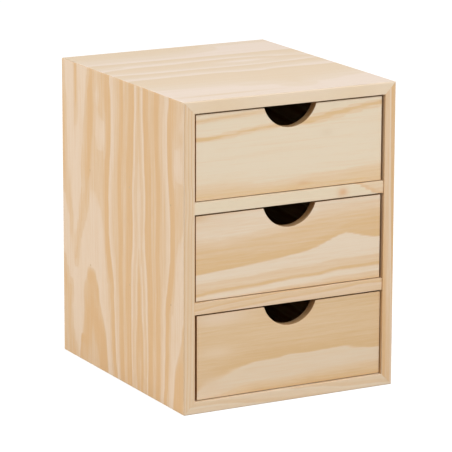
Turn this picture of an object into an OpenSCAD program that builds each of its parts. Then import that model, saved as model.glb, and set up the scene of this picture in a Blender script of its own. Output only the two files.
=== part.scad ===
// Desktop mini drawers: a solid pine case with three drawers, each opened by a
// finger notch in its front. Millimetres, +Z up. The origin is the middle of the
// footprint, on the surface that the case stands on. The drawers pull out
// towards -Y, and +X is on the right of someone who faces them.

/* [Case] */
// Width over the two side boards
case_w = 175; // [120:1:300]
// Depth from the front edges to the back edges
case_d = 200; // [120:1:300]
// Height over the top and bottom boards
case_h = 230; // [160:1:400]
// Thickness of the side, top and bottom boards
board_t = 9; // [7:0.5:14]
// Radius that sanding leaves on the outer edges
ease_r = 1; // [0.4:0.1:2]

/* [Dividers] */
// Thickness of each divider
divider_t = 9; // [5:0.5:12]
// How far the dividers' front edges sit behind the case's front edges
divider_setback = 1; // [0:0.5:8]

/* [Back panel] */
// Thickness of the plywood back panel
back_t = 3; // [2:0.5:5]
// Width of the rebate for the panel, cut into each board from its inner face
rebate_w = 5; // [4:0.5:5]
// Gap between the panel's edges and the rebate
back_gap = 0.3; // [0.1:0.1:1]

/* [Drawer fronts] */
// Thickness of each drawer front
front_t = 7; // [6:0.5:12]
// How far the drawer fronts sit behind the case's front edges
front_setback = 2.5; // [0:0.5:10]
// Gap at each end of a drawer front when the drawer is centred
side_gap = 1.8; // [0.8:0.1:3]
// Gap above each drawer front
top_gap = 1.4; // [0.8:0.1:4]
// Gap below each drawer front
front_lift = 0.5; // [0.3:0.1:2]
// Drift of each drawer to the right, lowest first, as a share of its side gap
drift = [0.65, 0.15, 0.2]; // [-0.8:0.05:0.8]

/* [Finger notches] */
// Width of a notch along the front's top edge
notch_w = 43; // [30:1:60]
// Depth of a notch below the front's top edge
notch_depth = 15.8; // [10:0.1:24]

/* [Drawer boxes] */
// Thickness of the drawer sides
side_t = 6; // [5:0.5:9]
// Thickness of the drawer backs
drawer_back_t = 6; // [5:0.5:9]
// How far the drawer sides and backs stay below the front's top edge
side_drop = 3; // [0:0.5:12]
// Depth of the end rebates in a front that take the drawer sides
lap_depth = 4; // [3:0.5:5]
// Gap under the drawer sides, on which a drawer runs
run_gap = 0.3; // [0.2:0.1:1]
// Gap between a closed drawer's back and the back panel
stop_gap = 0.3; // [0.2:0.1:3]

/* [Drawer bottoms] */
// Thickness of the plywood drawer bottoms
bottom_t = 3; // [2:0.5:4]
// Depth of the grooves that hold a bottom
groove_depth = 3; // [2:0.5:4]
// Gap between a bottom's edges and the ends of its grooves
groove_gap = 0.5; // [0.1:0.1:1]
// Height of the grooves above the drawer sides' lower edges
groove_lift = 4; // [3:0.5:8]

/* [Brads and pins] */
// Diameter of a brad's shank
brad_d = 1; // [0.8:0.1:1.4]
// Diameter of a brad's head
brad_head_d = 1.6; // [1.5:0.1:2]
// Thickness of a brad's head
brad_head_t = 0.8; // [0.4:0.1:1.2]
// Length of the brads through the case's sides into the dividers
divider_brad_l = 25; // [16:1:35]
// Distance of the first divider brad behind the case's front edge
divider_brad_start = 20; // [10:1:40]
// Spacing of the divider brads
divider_brad_pitch = 66; // [30:1:80]
// Number of brads in each end of a divider
divider_brad_count = 3; // [1:1:3]
// Length of the brads in the drawer corners
corner_brad_l = 15; // [12:1:25]
// Distance of the corner brads from the drawer sides' long edges
corner_brad_inset = 13; // [10:1:18]
// Diameter of a back panel pin's shank
pin_d = 1.2; // [0.8:0.1:1.6]
// Diameter of a back panel pin's head
pin_head_d = 2.4; // [2:0.1:3]
// Thickness of a back panel pin's head
pin_head_t = 0.6; // [0.4:0.1:1]
// Length of the back panel pins
pin_l = 12; // [8:1:20]
// Distance of the outermost pins from the panel's corners
pin_inset = 25; // [15:1:40]
// Clearance between a brad or pin and its hole
nail_fit = 0.05; // [0.02:0.01:0.1]

/* [Hidden] */

$fn = 48;
cut = 1;                    // how far a cutting tool runs past the face it cuts

// Levels, counted from the bottom of the case
LOWER = 0;
MIDDLE = 1;
UPPER = 2;
drawer_count = 3;

// The case
front_edge = -case_d / 2;
back_edge = case_d / 2;
inner_w = case_w - 2 * board_t;
inner_h = case_h - 2 * board_t;
bay_h = (inner_h - (drawer_count - 1) * divider_t) / drawer_count;
recess_w = inner_w + 2 * rebate_w;
recess_h = inner_h + 2 * rebate_w;
panel_face = back_edge - back_t;
divider_front = front_edge + divider_setback;

// The drawers, measured from the floor of their bay
front_w = inner_w - 2 * side_gap;
front_h = bay_h - top_gap - front_lift;
front_top = front_lift + front_h;
front_face = front_edge + front_setback;
front_inside = front_face + front_t;
lap_face = front_inside - lap_depth;
drawer_end = panel_face - stop_gap;
drawer_back_inside = drawer_end - drawer_back_t;
box_top = front_top - side_drop;
box_h = box_top - run_gap;
box_inner_w = front_w - 2 * side_t;
groove_z = run_gap + groove_lift;
tongue = groove_depth - groove_gap;
notch_r = (pow(notch_w / 2, 2) + pow(notch_depth, 2)) / (2 * notch_depth);

// Colours of the bare timber, the plywood and the steel
side_pine = "#e3c9b0";
top_pine = "#ecdccd";
edge_pine = "#dcc2a4";
front_pine = ["#cdaa8c", "#dec8aa", "#deccb2"];
box_pine = "#e0cba9";
plywood = "#d9bf94";
steel = "#a8a8a6";

function bay_floor(level) = board_t + level * (bay_h + divider_t);

// A box between two corners
module block(low, high) {
    translate(low) cube(high - low);
}

// An outline in the XZ plane, drawn out along Y over the given length about the middle
module along_y(length) {
    rotate([90, 0, 0]) linear_extrude(length, center = true) children();
}

// A rectangle from [-w / 2, 0] to [w / 2, h] with rounded corners
module eased_outline(w, h) {
    translate([-w / 2 + ease_r, 0]) square([w - 2 * ease_r, h]);
    translate([-w / 2, ease_r]) square([w, h - 2 * ease_r]);
    for (x = [-1, 1], z = [ease_r, h - ease_r]) {
        translate([x * (w / 2 - ease_r), z]) circle(ease_r);
    }
}

// The outside of the case, with every outer edge eased
module case_outside() {
    intersection() {
        along_y(case_d) eased_outline(case_w, case_h);
        rotate([90, 0, 90]) linear_extrude(case_w, center = true) eased_outline(case_d, case_h);
        translate([0, -case_d / 2, 0]) linear_extrude(case_h) eased_outline(case_w, case_d);
    }
}

// The space that the back panel's rebates leave at the back of the case
module back_recess() {
    block([-recess_w / 2, panel_face, board_t - rebate_w],
          [recess_w / 2, back_edge + cut, board_t + inner_h + rebate_w]);
}

// A nail that is driven towards +Z, with its head's face at the origin
module nail(shank_d, head_d, head_t, length, fit = 0) {
    cylinder(h = head_t, d = head_d + 2 * fit);
    cylinder(h = length + fit, d = shank_d + 2 * fit);
}

// The brads through the left side board into the ends of both dividers
module divider_brad_set(fit = 0) {
    for (level = [MIDDLE, UPPER], i = [0:divider_brad_count - 1]) {
        translate([-case_w / 2,
                   front_edge + divider_brad_start + i * divider_brad_pitch,
                   bay_floor(level) - divider_t / 2])
            rotate([0, 90, 0])
            nail(brad_d, brad_head_d, brad_head_t, divider_brad_l, fit);
    }
}

// The pins through the back panel into the four boards of the case
module back_pin_set(fit = 0) {
    pin_x = inner_w / 2 + rebate_w / 2;
    pin_z = inner_h / 2 + rebate_w / 2;
    side_rows = [-1, 0, 1] * (recess_h / 2 - pin_inset);
    end_rows = [-1, 1] * (recess_w / 2 - pin_inset);
    translate([0, back_edge, case_h / 2]) {
        for (side = [-1, 1], z = side_rows) {
            translate([side * pin_x, 0, z]) back_pin(fit);
        }
        for (end = [-1, 1], x = end_rows) {
            translate([x, 0, end * pin_z]) back_pin(fit);
        }
    }
}

module back_pin(fit) {
    rotate([90, 0, 0]) nail(pin_d, pin_head_d, pin_head_t, pin_l, fit);
}

// A mitred board of the case: its end outline in the XZ plane, the eased outer
// edges and the rebate for the back panel
module case_board(outline) {
    difference() {
        intersection() {
            along_y(case_d) polygon(outline);
            case_outside();
        }
        back_recess();
        back_pin_set(nail_fit);
    }
}

module left_board() {
    difference() {
        case_board([
            [-case_w / 2, 0],
            [-case_w / 2, case_h],
            [-inner_w / 2, board_t + inner_h],
            [-inner_w / 2, board_t]
        ]);
        divider_brad_set(nail_fit);
    }
}

module left_side() {
    color(side_pine) left_board();
}

module right_side() {
    color(side_pine) mirror([1, 0, 0]) left_board();
}

module top_panel() {
    color(top_pine) case_board([
        [-case_w / 2, case_h],
        [case_w / 2, case_h],
        [inner_w / 2, board_t + inner_h],
        [-inner_w / 2, board_t + inner_h]
    ]);
}

module bottom_panel() {
    color(top_pine) case_board([
        [-case_w / 2, 0],
        [-inner_w / 2, board_t],
        [inner_w / 2, board_t],
        [case_w / 2, 0]
    ]);
}

// The divider that carries the drawer at the given level
module divider(level) {
    floor_z = bay_floor(level);
    color(edge_pine) difference() {
        block([-inner_w / 2, divider_front, floor_z - divider_t],
              [inner_w / 2, panel_face, floor_z]);
        divider_brad_set(nail_fit);
        mirror([1, 0, 0]) divider_brad_set(nail_fit);
    }
}

module upper_divider() {
    divider(UPPER);
}

module lower_divider() {
    divider(MIDDLE);
}

module back_panel() {
    color(plywood) difference() {
        block([-recess_w / 2 + back_gap, panel_face, board_t - rebate_w + back_gap],
              [recess_w / 2 - back_gap, back_edge, board_t + inner_h + rebate_w - back_gap]);
        back_pin_set(nail_fit);
    }
}

module left_divider_brads() {
    color(steel) divider_brad_set();
}

module right_divider_brads() {
    color(steel) mirror([1, 0, 0]) divider_brad_set();
}

module back_panel_pins() {
    color(steel) back_pin_set();
}

// Carries a drawer's piece to its bay, from a bay whose floor is at z = 0
module in_bay(level) {
    translate([drift[level] * side_gap, 0, bay_floor(level)]) children();
}

// The brads through the left drawer side into the front and the drawer back
module left_corner_brads(fit = 0) {
    rows_y = [(lap_face + front_inside) / 2, drawer_end - drawer_back_t / 2];
    rows_z = [run_gap + corner_brad_inset, box_top - corner_brad_inset];
    for (y = rows_y, z = rows_z) {
        translate([-front_w / 2, y, z]) rotate([0, 90, 0])
            nail(brad_d, brad_head_d, brad_head_t, corner_brad_l, fit);
    }
}

module corner_brads(fit = 0) {
    left_corner_brads(fit);
    mirror([1, 0, 0]) left_corner_brads(fit);
}

// The space that the groove for the bottom takes in all four boards of a drawer
module bottom_groove() {
    block([-box_inner_w / 2 - groove_depth, front_inside - groove_depth, groove_z],
          [box_inner_w / 2 + groove_depth, drawer_back_inside + groove_depth, groove_z + bottom_t]);
}

module finger_notch() {
    translate([0, front_face + front_t / 2, front_top - notch_depth + notch_r])
        along_y(front_t + 2 * cut) circle(notch_r, $fn = 96);
}

module drawer_front(level) {
    color(front_pine[level]) in_bay(level) difference() {
        block([-front_w / 2, front_face, front_lift], [front_w / 2, front_inside, front_top]);
        for (side = [0, 1]) {
            mirror([side, 0, 0])
                block([box_inner_w / 2, lap_face, 0], [front_w / 2 + cut, front_inside + cut, front_top + cut]);
        }
        bottom_groove();
        finger_notch();
        corner_brads(nail_fit);
    }
}

// The left side of a drawer, in a bay whose floor is at z = 0
module left_box_side() {
    difference() {
        block([-front_w / 2, lap_face, run_gap], [-box_inner_w / 2, drawer_end, box_top]);
        block([-box_inner_w / 2 - groove_depth, lap_face - cut, groove_z],
              [-box_inner_w / 2 + cut, drawer_end + cut, groove_z + bottom_t]);
        left_corner_brads(nail_fit);
    }
}

module drawer_left_side(level) {
    color(box_pine) in_bay(level) left_box_side();
}

module drawer_right_side(level) {
    color(box_pine) in_bay(level) mirror([1, 0, 0]) left_box_side();
}

module drawer_back(level) {
    color(box_pine) in_bay(level) difference() {
        block([-box_inner_w / 2, drawer_back_inside, run_gap],
              [box_inner_w / 2, drawer_end, box_top]);
        bottom_groove();
        corner_brads(nail_fit);
    }
}

module drawer_bottom(level) {
    color(plywood) in_bay(level)
        block([-box_inner_w / 2 - tongue, front_inside - tongue, groove_z],
              [box_inner_w / 2 + tongue, drawer_back_inside + tongue, groove_z + bottom_t]);
}

module drawer_brads(level) {
    color(steel) in_bay(level) corner_brads();
}

// The case
left_side();
right_side();
top_panel();
bottom_panel();
upper_divider();
lower_divider();
back_panel();
left_divider_brads();
right_divider_brads();
back_panel_pins();

// The upper drawer
drawer_front(UPPER);  // upper_drawer_front
drawer_left_side(UPPER);  // upper_drawer_left_side
drawer_right_side(UPPER);  // upper_drawer_right_side
drawer_back(UPPER);  // upper_drawer_back
drawer_bottom(UPPER);  // upper_drawer_bottom
drawer_brads(UPPER);  // upper_drawer_brads

// The middle drawer
drawer_front(MIDDLE);  // middle_drawer_front
drawer_left_side(MIDDLE);  // middle_drawer_left_side
drawer_right_side(MIDDLE);  // middle_drawer_right_side
drawer_back(MIDDLE);  // middle_drawer_back
drawer_bottom(MIDDLE);  // middle_drawer_bottom
drawer_brads(MIDDLE);  // middle_drawer_brads

// The lower drawer
drawer_front(LOWER);  // lower_drawer_front
drawer_left_side(LOWER);  // lower_drawer_left_side
drawer_right_side(LOWER);  // lower_drawer_right_side
drawer_back(LOWER);  // lower_drawer_back
drawer_bottom(LOWER);  // lower_drawer_bottom
drawer_brads(LOWER);  // lower_drawer_brads
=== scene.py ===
"""Desktop mini drawers, dressed: a bare pine case with three finger-notched drawers.

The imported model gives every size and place. The boards that show are modelled again here with
sanded edges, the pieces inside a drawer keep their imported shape, and every surface gets the
growth rings, fibres and tone of its own board. Lengths are in metres, and in millimetres where
a name or a docstring says so.
"""

from __future__ import annotations

import logging
import math
from dataclasses import dataclass
from enum import Enum
from typing import Iterable, Sequence, Union

import bmesh
import bpy
from mathutils import Matrix, Vector


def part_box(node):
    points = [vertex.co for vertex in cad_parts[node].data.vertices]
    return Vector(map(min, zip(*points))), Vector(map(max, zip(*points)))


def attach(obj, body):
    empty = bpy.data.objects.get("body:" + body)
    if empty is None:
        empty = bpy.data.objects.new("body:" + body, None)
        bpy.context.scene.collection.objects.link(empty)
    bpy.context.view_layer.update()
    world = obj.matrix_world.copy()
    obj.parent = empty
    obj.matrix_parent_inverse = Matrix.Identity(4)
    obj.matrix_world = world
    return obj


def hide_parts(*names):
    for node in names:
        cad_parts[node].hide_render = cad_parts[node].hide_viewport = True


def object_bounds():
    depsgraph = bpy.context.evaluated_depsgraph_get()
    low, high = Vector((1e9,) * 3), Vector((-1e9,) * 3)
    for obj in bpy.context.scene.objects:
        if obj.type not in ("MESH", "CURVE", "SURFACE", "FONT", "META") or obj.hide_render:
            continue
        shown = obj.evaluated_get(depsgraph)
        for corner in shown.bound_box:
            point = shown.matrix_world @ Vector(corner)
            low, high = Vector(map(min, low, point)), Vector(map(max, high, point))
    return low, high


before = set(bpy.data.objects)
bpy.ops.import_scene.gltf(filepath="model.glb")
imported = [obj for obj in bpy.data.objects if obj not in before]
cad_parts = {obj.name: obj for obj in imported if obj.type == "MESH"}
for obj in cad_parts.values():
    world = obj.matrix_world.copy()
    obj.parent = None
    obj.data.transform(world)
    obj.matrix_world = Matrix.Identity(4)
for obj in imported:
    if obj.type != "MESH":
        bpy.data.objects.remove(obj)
CAD_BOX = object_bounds()

MM = 0.001
log = logging.getLogger("mini_drawers")

SAME_PLACE = 1e-6  # places nearer to each other than this are one
ON_PLANE = 1e-7  # a corner as near as this to a cutting plane lies on it
WELD_REACH = 0.002 * MM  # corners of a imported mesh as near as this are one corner
SLIVER = 0.001 * MM  # edges and faces thinner than this are dissolved
CORNER_ANGLE = math.radians(50)  # edges that turn by more than this are rounded
SHARP_ANGLE = math.radians(40)  # edges that turn by more than this are shaded sharp
SQUARE = 0.999  # a face is square to the row's axes if its normal has a part above this
ARRIS_STEPS = 3  # flat strips that make up an eased edge
BOX_ARRIS_STEPS = 2  # the same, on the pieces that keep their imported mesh
HEAD_DEPTH = 0.01 * MM  # a nail's corners within this of its end belong to its head
HEAD_LIFT = 0.5 * MM  # how far a nail cutter's heads stand out of the board
NAIL_GAP = 3 * MM  # nails farther apart than this stand in faces of their own
NAIL_MARGIN = 1.5 * MM  # how far those faces reach past a nail
# painted shade: multiplied into the drawer fronts' edge faces, it darkens the finger notch's wall and the
# gaps round each front
EDGE_SHADE = "#c6b49c"
SIDE_TONES = ("#e9d0b5", "#e2c19a", "#dfb685")

Value = Union[float, Sequence[float], bpy.types.Node, bpy.types.NodeSocket, None]


class Axis(Enum):
    """An axis of the row frame."""

    X = 0
    Y = 1
    Z = 2


class Side(Enum):
    """The four boards of the case, as quarter turns from the top about the depth axis."""

    TOP = 0
    RIGHT = 1
    BOTTOM = 2
    LEFT = 3


class Level(Enum):
    """The three drawers, by the name of their body."""

    UPPER = "upper_drawer"
    MIDDLE = "middle_drawer"
    LOWER = "lower_drawer"


# ---------------------------------------------------------------- colour and nodes


def linear(colour: str) -> tuple[float, float, float, float]:
    """Turns an sRGB hex colour into linear light.

    Args:
        colour: The colour as "#rrggbb".

    Returns:
        Linear red, green, blue and an alpha of 1.
    """
    channels = [int(colour[i : i + 2], 16) / 255 for i in (1, 3, 5)]
    light = [c / 12.92 if c <= 0.04045 else ((c + 0.055) / 1.055) ** 2.4 for c in channels]
    return (light[0], light[1], light[2], 1.0)


def add_node(
    tree: bpy.types.NodeTree,
    kind: str,
    settings: dict[str, object] | None = None,
    *values: Value,
    **named: Value,
) -> bpy.types.Node:
    """Adds a shader node with its settings and links.

    Args:
        tree: The node tree of a material or world.
        kind: The node's type, without its ShaderNode prefix.
        settings: Properties of the node, by name.
        *values: One entry for each input in use, in order: a number, a colour, a socket, a
            node whose first output is meant, or None to leave the input alone.
        **named: The same, by input name, with _ for a space.

    Returns:
        The new node.
    """
    node = tree.nodes.new("ShaderNode" + kind)
    for name, setting in (settings or {}).items():
        setattr(node, name, setting)
    pairs = list(zip((s for s in node.inputs if s.enabled), values))
    pairs += [(node.inputs[name.replace("_", " ")], v) for name, v in named.items()]
    for socket, value in pairs:
        if isinstance(value, bpy.types.Node):
            tree.links.new(next(s for s in value.outputs if s.enabled), socket)
        elif isinstance(value, bpy.types.NodeSocket):
            tree.links.new(value, socket)
        elif value is not None:
            socket.default_value = value
    return node


def set_stops(ramp: bpy.types.Node, stops: Sequence[tuple[float, Sequence[float]]]) -> None:
    """Gives a colour ramp node its stops.

    Args:
        ramp: The colour ramp node.
        stops: Pairs of position and colour, in rising order.
    """
    elements = ramp.color_ramp.elements
    for i, (position, colour) in enumerate(stops):
        element = elements[i] if i < len(elements) else elements.new(position)
        element.position = position
        element.color = colour


def plug(tree: bpy.types.NodeTree, shader: bpy.types.Node, **sources: bpy.types.Node) -> None:
    """Links finished patterns to a shader.

    Args:
        tree: The material's node tree.
        shader: The shader.
        **sources: A node for each input, by the input's name with _ for a space.
    """
    for name, source in sources.items():
        output = next(s for s in source.outputs if s.enabled)
        tree.links.new(output, shader.inputs[name.replace("_", " ")])


# ---------------------------------------------------------------- how a board's rings run


@dataclass(frozen=True)
class Station:
    """The growth rings across a board's face at one place along its grain.

    A ring number rises by 1 from one growth ring to the next. The dark latewood starts
    crisply at each whole number and fades to pale earlywood before the next one.

    Attributes:
        at: Place along the grain, in mm on the row frame's axis.
        rings: Points (place across the grain in mm, ring number), in rising order.
    """

    at: float
    rings: tuple[tuple[float, float], ...]


@dataclass(frozen=True)
class Figure:
    """How the growth rings meet a board, which is what a face shows as its figure.

    Attributes:
        along: The axis that the grain runs along.
        across: The axis across the board's broad face.
        depth: The axis through the board's thickness.
        face: The broad face's place on the depth axis, in mm.
        stations: The rings at one or more places along the grain, in rising order.
        heart: Where the rings mirror left to right, in mm across, or None. The stations'
            places are then distances from that line.
        sway: How far the heart line has strayed at 0 along the grain, in mm.
        sway_length: Where along the grain it is straight again, in mm.
        tilt: Ring numbers gained per mm of depth.
        wander: How far the rings stray sideways, in mm.
        wander_length: The length over which they stray, in mm.
    """

    along: Axis
    across: Axis
    depth: Axis
    face: float
    stations: tuple[Station, ...]
    heart: float | None = None
    sway: float = 0.0
    sway_length: float = 95.0
    tilt: float = 0.12
    wander: float = 1.0
    wander_length: float = 55.0

    def place(self, tree: bpy.types.NodeTree) -> list[bpy.types.NodeSocket]:
        """Adds the nodes that give a point's place in the board.

        Args:
            tree: The material's node tree.

        Returns:
            The places along, across and through the board, in mm.
        """
        point = add_node(tree, "TexCoord").outputs["Object"]
        in_mm = add_node(tree, "VectorMath", {"operation": "SCALE"}, point, 1 / MM)
        parts = add_node(tree, "SeparateXYZ", None, in_mm).outputs
        return [parts[axis.value] for axis in (self.along, self.across, self.depth)]

    def ring_number(self, tree: bpy.types.NodeTree, seed: float) -> bpy.types.NodeSocket:
        """Adds the nodes that give the ring number at a point.

        Args:
            tree: The material's node tree.
            seed: Picks this board's own irregularities.

        Returns:
            The ring number.
        """
        along, across, depth = self.place(tree)
        across = self._strayed(tree, along, across, depth, seed)
        folded = across
        if self.heart is not None:
            low_heart = self.heart + self.sway
            heart = add_node(tree, "MapRange", None, along, 0.0, self.sway_length, low_heart, self.heart)
            folded = add_node(tree, "Math", {"operation": "SUBTRACT"}, across, heart)
            folded = add_node(tree, "Math", {"operation": "ABSOLUTE"}, folded)
        ring = self._station_rings(tree, along, folded)
        below = add_node(tree, "Math", {"operation": "SUBTRACT"}, depth, self.face)
        below = add_node(tree, "Math", {"operation": "ABSOLUTE"}, below)
        return add_node(tree, "Math", {"operation": "MULTIPLY_ADD"}, below, self.tilt, ring).outputs[0]

    def _strayed(
        self,
        tree: bpy.types.NodeTree,
        along: bpy.types.NodeSocket,
        across: bpy.types.NodeSocket,
        depth: bpy.types.NodeSocket,
        seed: float,
    ) -> bpy.types.Node:
        """Bends the place across the grain a little, so that no ring runs ruler-straight.

        Args:
            tree: The material's node tree.
            along: Place along the grain.
            across: Place across the grain.
            depth: Place through the board.
            seed: Picks the board's own bends.

        Returns:
            The bent place across the grain.
        """
        point = add_node(tree, "CombineXYZ", None, along, across, depth)
        rate = (1 / self.wander_length, 2 / self.wander_length, 1 / self.wander_length)
        point = add_node(tree, "VectorMath", {"operation": "MULTIPLY_ADD"}, point, rate, (seed,) * 3)
        bend = add_node(tree, "TexNoise", None, Vector=point, Scale=1.0, Detail=3.0, Roughness=0.55)
        bend = add_node(tree, "Math", {"operation": "SUBTRACT"}, bend, 0.5)
        # the noise seldom leaves its middle half, so four times as much fills the stray
        return add_node(tree, "Math", {"operation": "MULTIPLY_ADD"}, bend, 4 * self.wander, across)

    def _station_rings(
        self, tree: bpy.types.NodeTree, along: bpy.types.NodeSocket, across: bpy.types.Node
    ) -> bpy.types.Node:
        """Reads the ring number off the stations' curves and blends from one to the next.

        Args:
            tree: The material's node tree.
            along: Place along the grain.
            across: Place across the grain, or distance from the heart line.

        Returns:
            The ring number on the board's face.
        """
        points = [point for station in self.stations for point in station.rings]
        first, last = min(p[0] for p in points), max(p[0] for p in points)
        low, high = min(p[1] for p in points), max(p[1] for p in points)
        share = add_node(tree, "MapRange", None, across, first, last, 0.0, 1.0)
        level = None
        for i, station in enumerate(self.stations):
            curve = add_node(tree, "FloatCurve", None, Value=share)
            shape = [((x - first) / (last - first), (r - low) / (high - low)) for x, r in station.rings]
            self._draw_curve(curve, shape)
            if level is None:
                level = curve
                continue
            reached = add_node(
                tree, "MapRange", None, along, self.stations[i - 1].at, station.at, 0.0, 1.0
            )
            level = add_node(tree, "Mix", None, reached, level, curve)
        return add_node(tree, "MapRange", {"clamp": False}, level, 0.0, 1.0, low, high)

    @staticmethod
    def _draw_curve(node: bpy.types.Node, points: Sequence[tuple[float, float]]) -> None:
        """Gives a float curve node its points.

        Args:
            node: The float curve node.
            points: The points, in rising order, within 0 to 1.
        """
        curve = node.mapping.curves[0]
        for place in points[1:-1]:
            curve.points.new(*place)
        ordered = sorted(curve.points, key=lambda p: p.location[0])
        for point, place in zip(ordered, points):
            point.location = place
            point.handle_type = "AUTO_CLAMPED"
        node.mapping.update()


def bell_at(tree: bpy.types.NodeTree, along: Value, across: Value, spot: Patch) -> bpy.types.Node:
    """Adds an oval bell: 1 at its middle, fading to 0 past its reach.

    Args:
        tree: The material's node tree.
        along: Place along the grain.
        across: Place across the grain.
        spot: Where the bell stands and how far it reaches.

    Returns:
        The bell.
    """
    offset = add_node(tree, "CombineXYZ", None, along, across, 0.0)
    middle = (spot.along, spot.across, 0.0)
    offset = add_node(tree, "VectorMath", {"operation": "SUBTRACT"}, offset, middle)
    reach = (spot.reach_along, spot.reach_across, 1.0)
    offset = add_node(tree, "VectorMath", {"operation": "DIVIDE"}, offset, reach)
    squared = add_node(tree, "VectorMath", {"operation": "DOT_PRODUCT"}, offset, offset)
    falloff = add_node(tree, "Math", {"operation": "MULTIPLY"}, squared, -1.0)
    return add_node(tree, "Math", {"operation": "EXPONENT"}, falloff)


def plain_sawn(
    along: Axis,
    across: Axis,
    depth: Axis,
    face: float,
    heart: float,
    span: tuple[float, float],
    width: float,
    ring_width: float = 11.0,
    lean: float = 1.6,
) -> Figure:
    """Works out the figure of a plain-sawn board: arches up its middle, straight lines beside.

    Args:
        along: The axis that the grain runs along.
        across: The axis across the board's broad face.
        depth: The axis through the board's thickness.
        face: The broad face's place on the depth axis, in mm.
        heart: Where the arches stand, in mm across.
        span: The board's ends along the grain, in mm.
        width: The farthest that the board reaches from the heart line, in mm.
        ring_width: Width of a growth ring where the rings run steep, in mm.
        lean: Ring numbers gained from one end of the board to the other.

    Returns:
        The figure.
    """
    pith_distance = 1.4 * ring_width
    steps = 8
    stations = []
    for end, gained in zip(span, (0.0, lean)):
        rings = []
        for step in range(steps + 1):
            away = width * step / steps
            rings.append((away, math.hypot(away, pith_distance) / ring_width + gained))
        stations.append(Station(end, tuple(rings)))
    return Figure(along, across, depth, face, tuple(stations), heart=heart, wander=2.2)


# ---------------------------------------------------------------- finishes


@dataclass(frozen=True)
class Patch:
    """A soft-edged place where the wood has another tone, as round a small knot.

    Attributes:
        along: Its place along the grain, in mm.
        across: Its place across the grain, in mm.
        reach_along: How far it reaches along the grain, in mm.
        reach_across: How far it reaches across the grain, in mm.
        colour: Its colour.
        strength: How fully it covers at its middle, from 0 to 1.
    """

    along: float
    across: float
    reach_along: float
    reach_across: float
    colour: str
    strength: float


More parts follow.
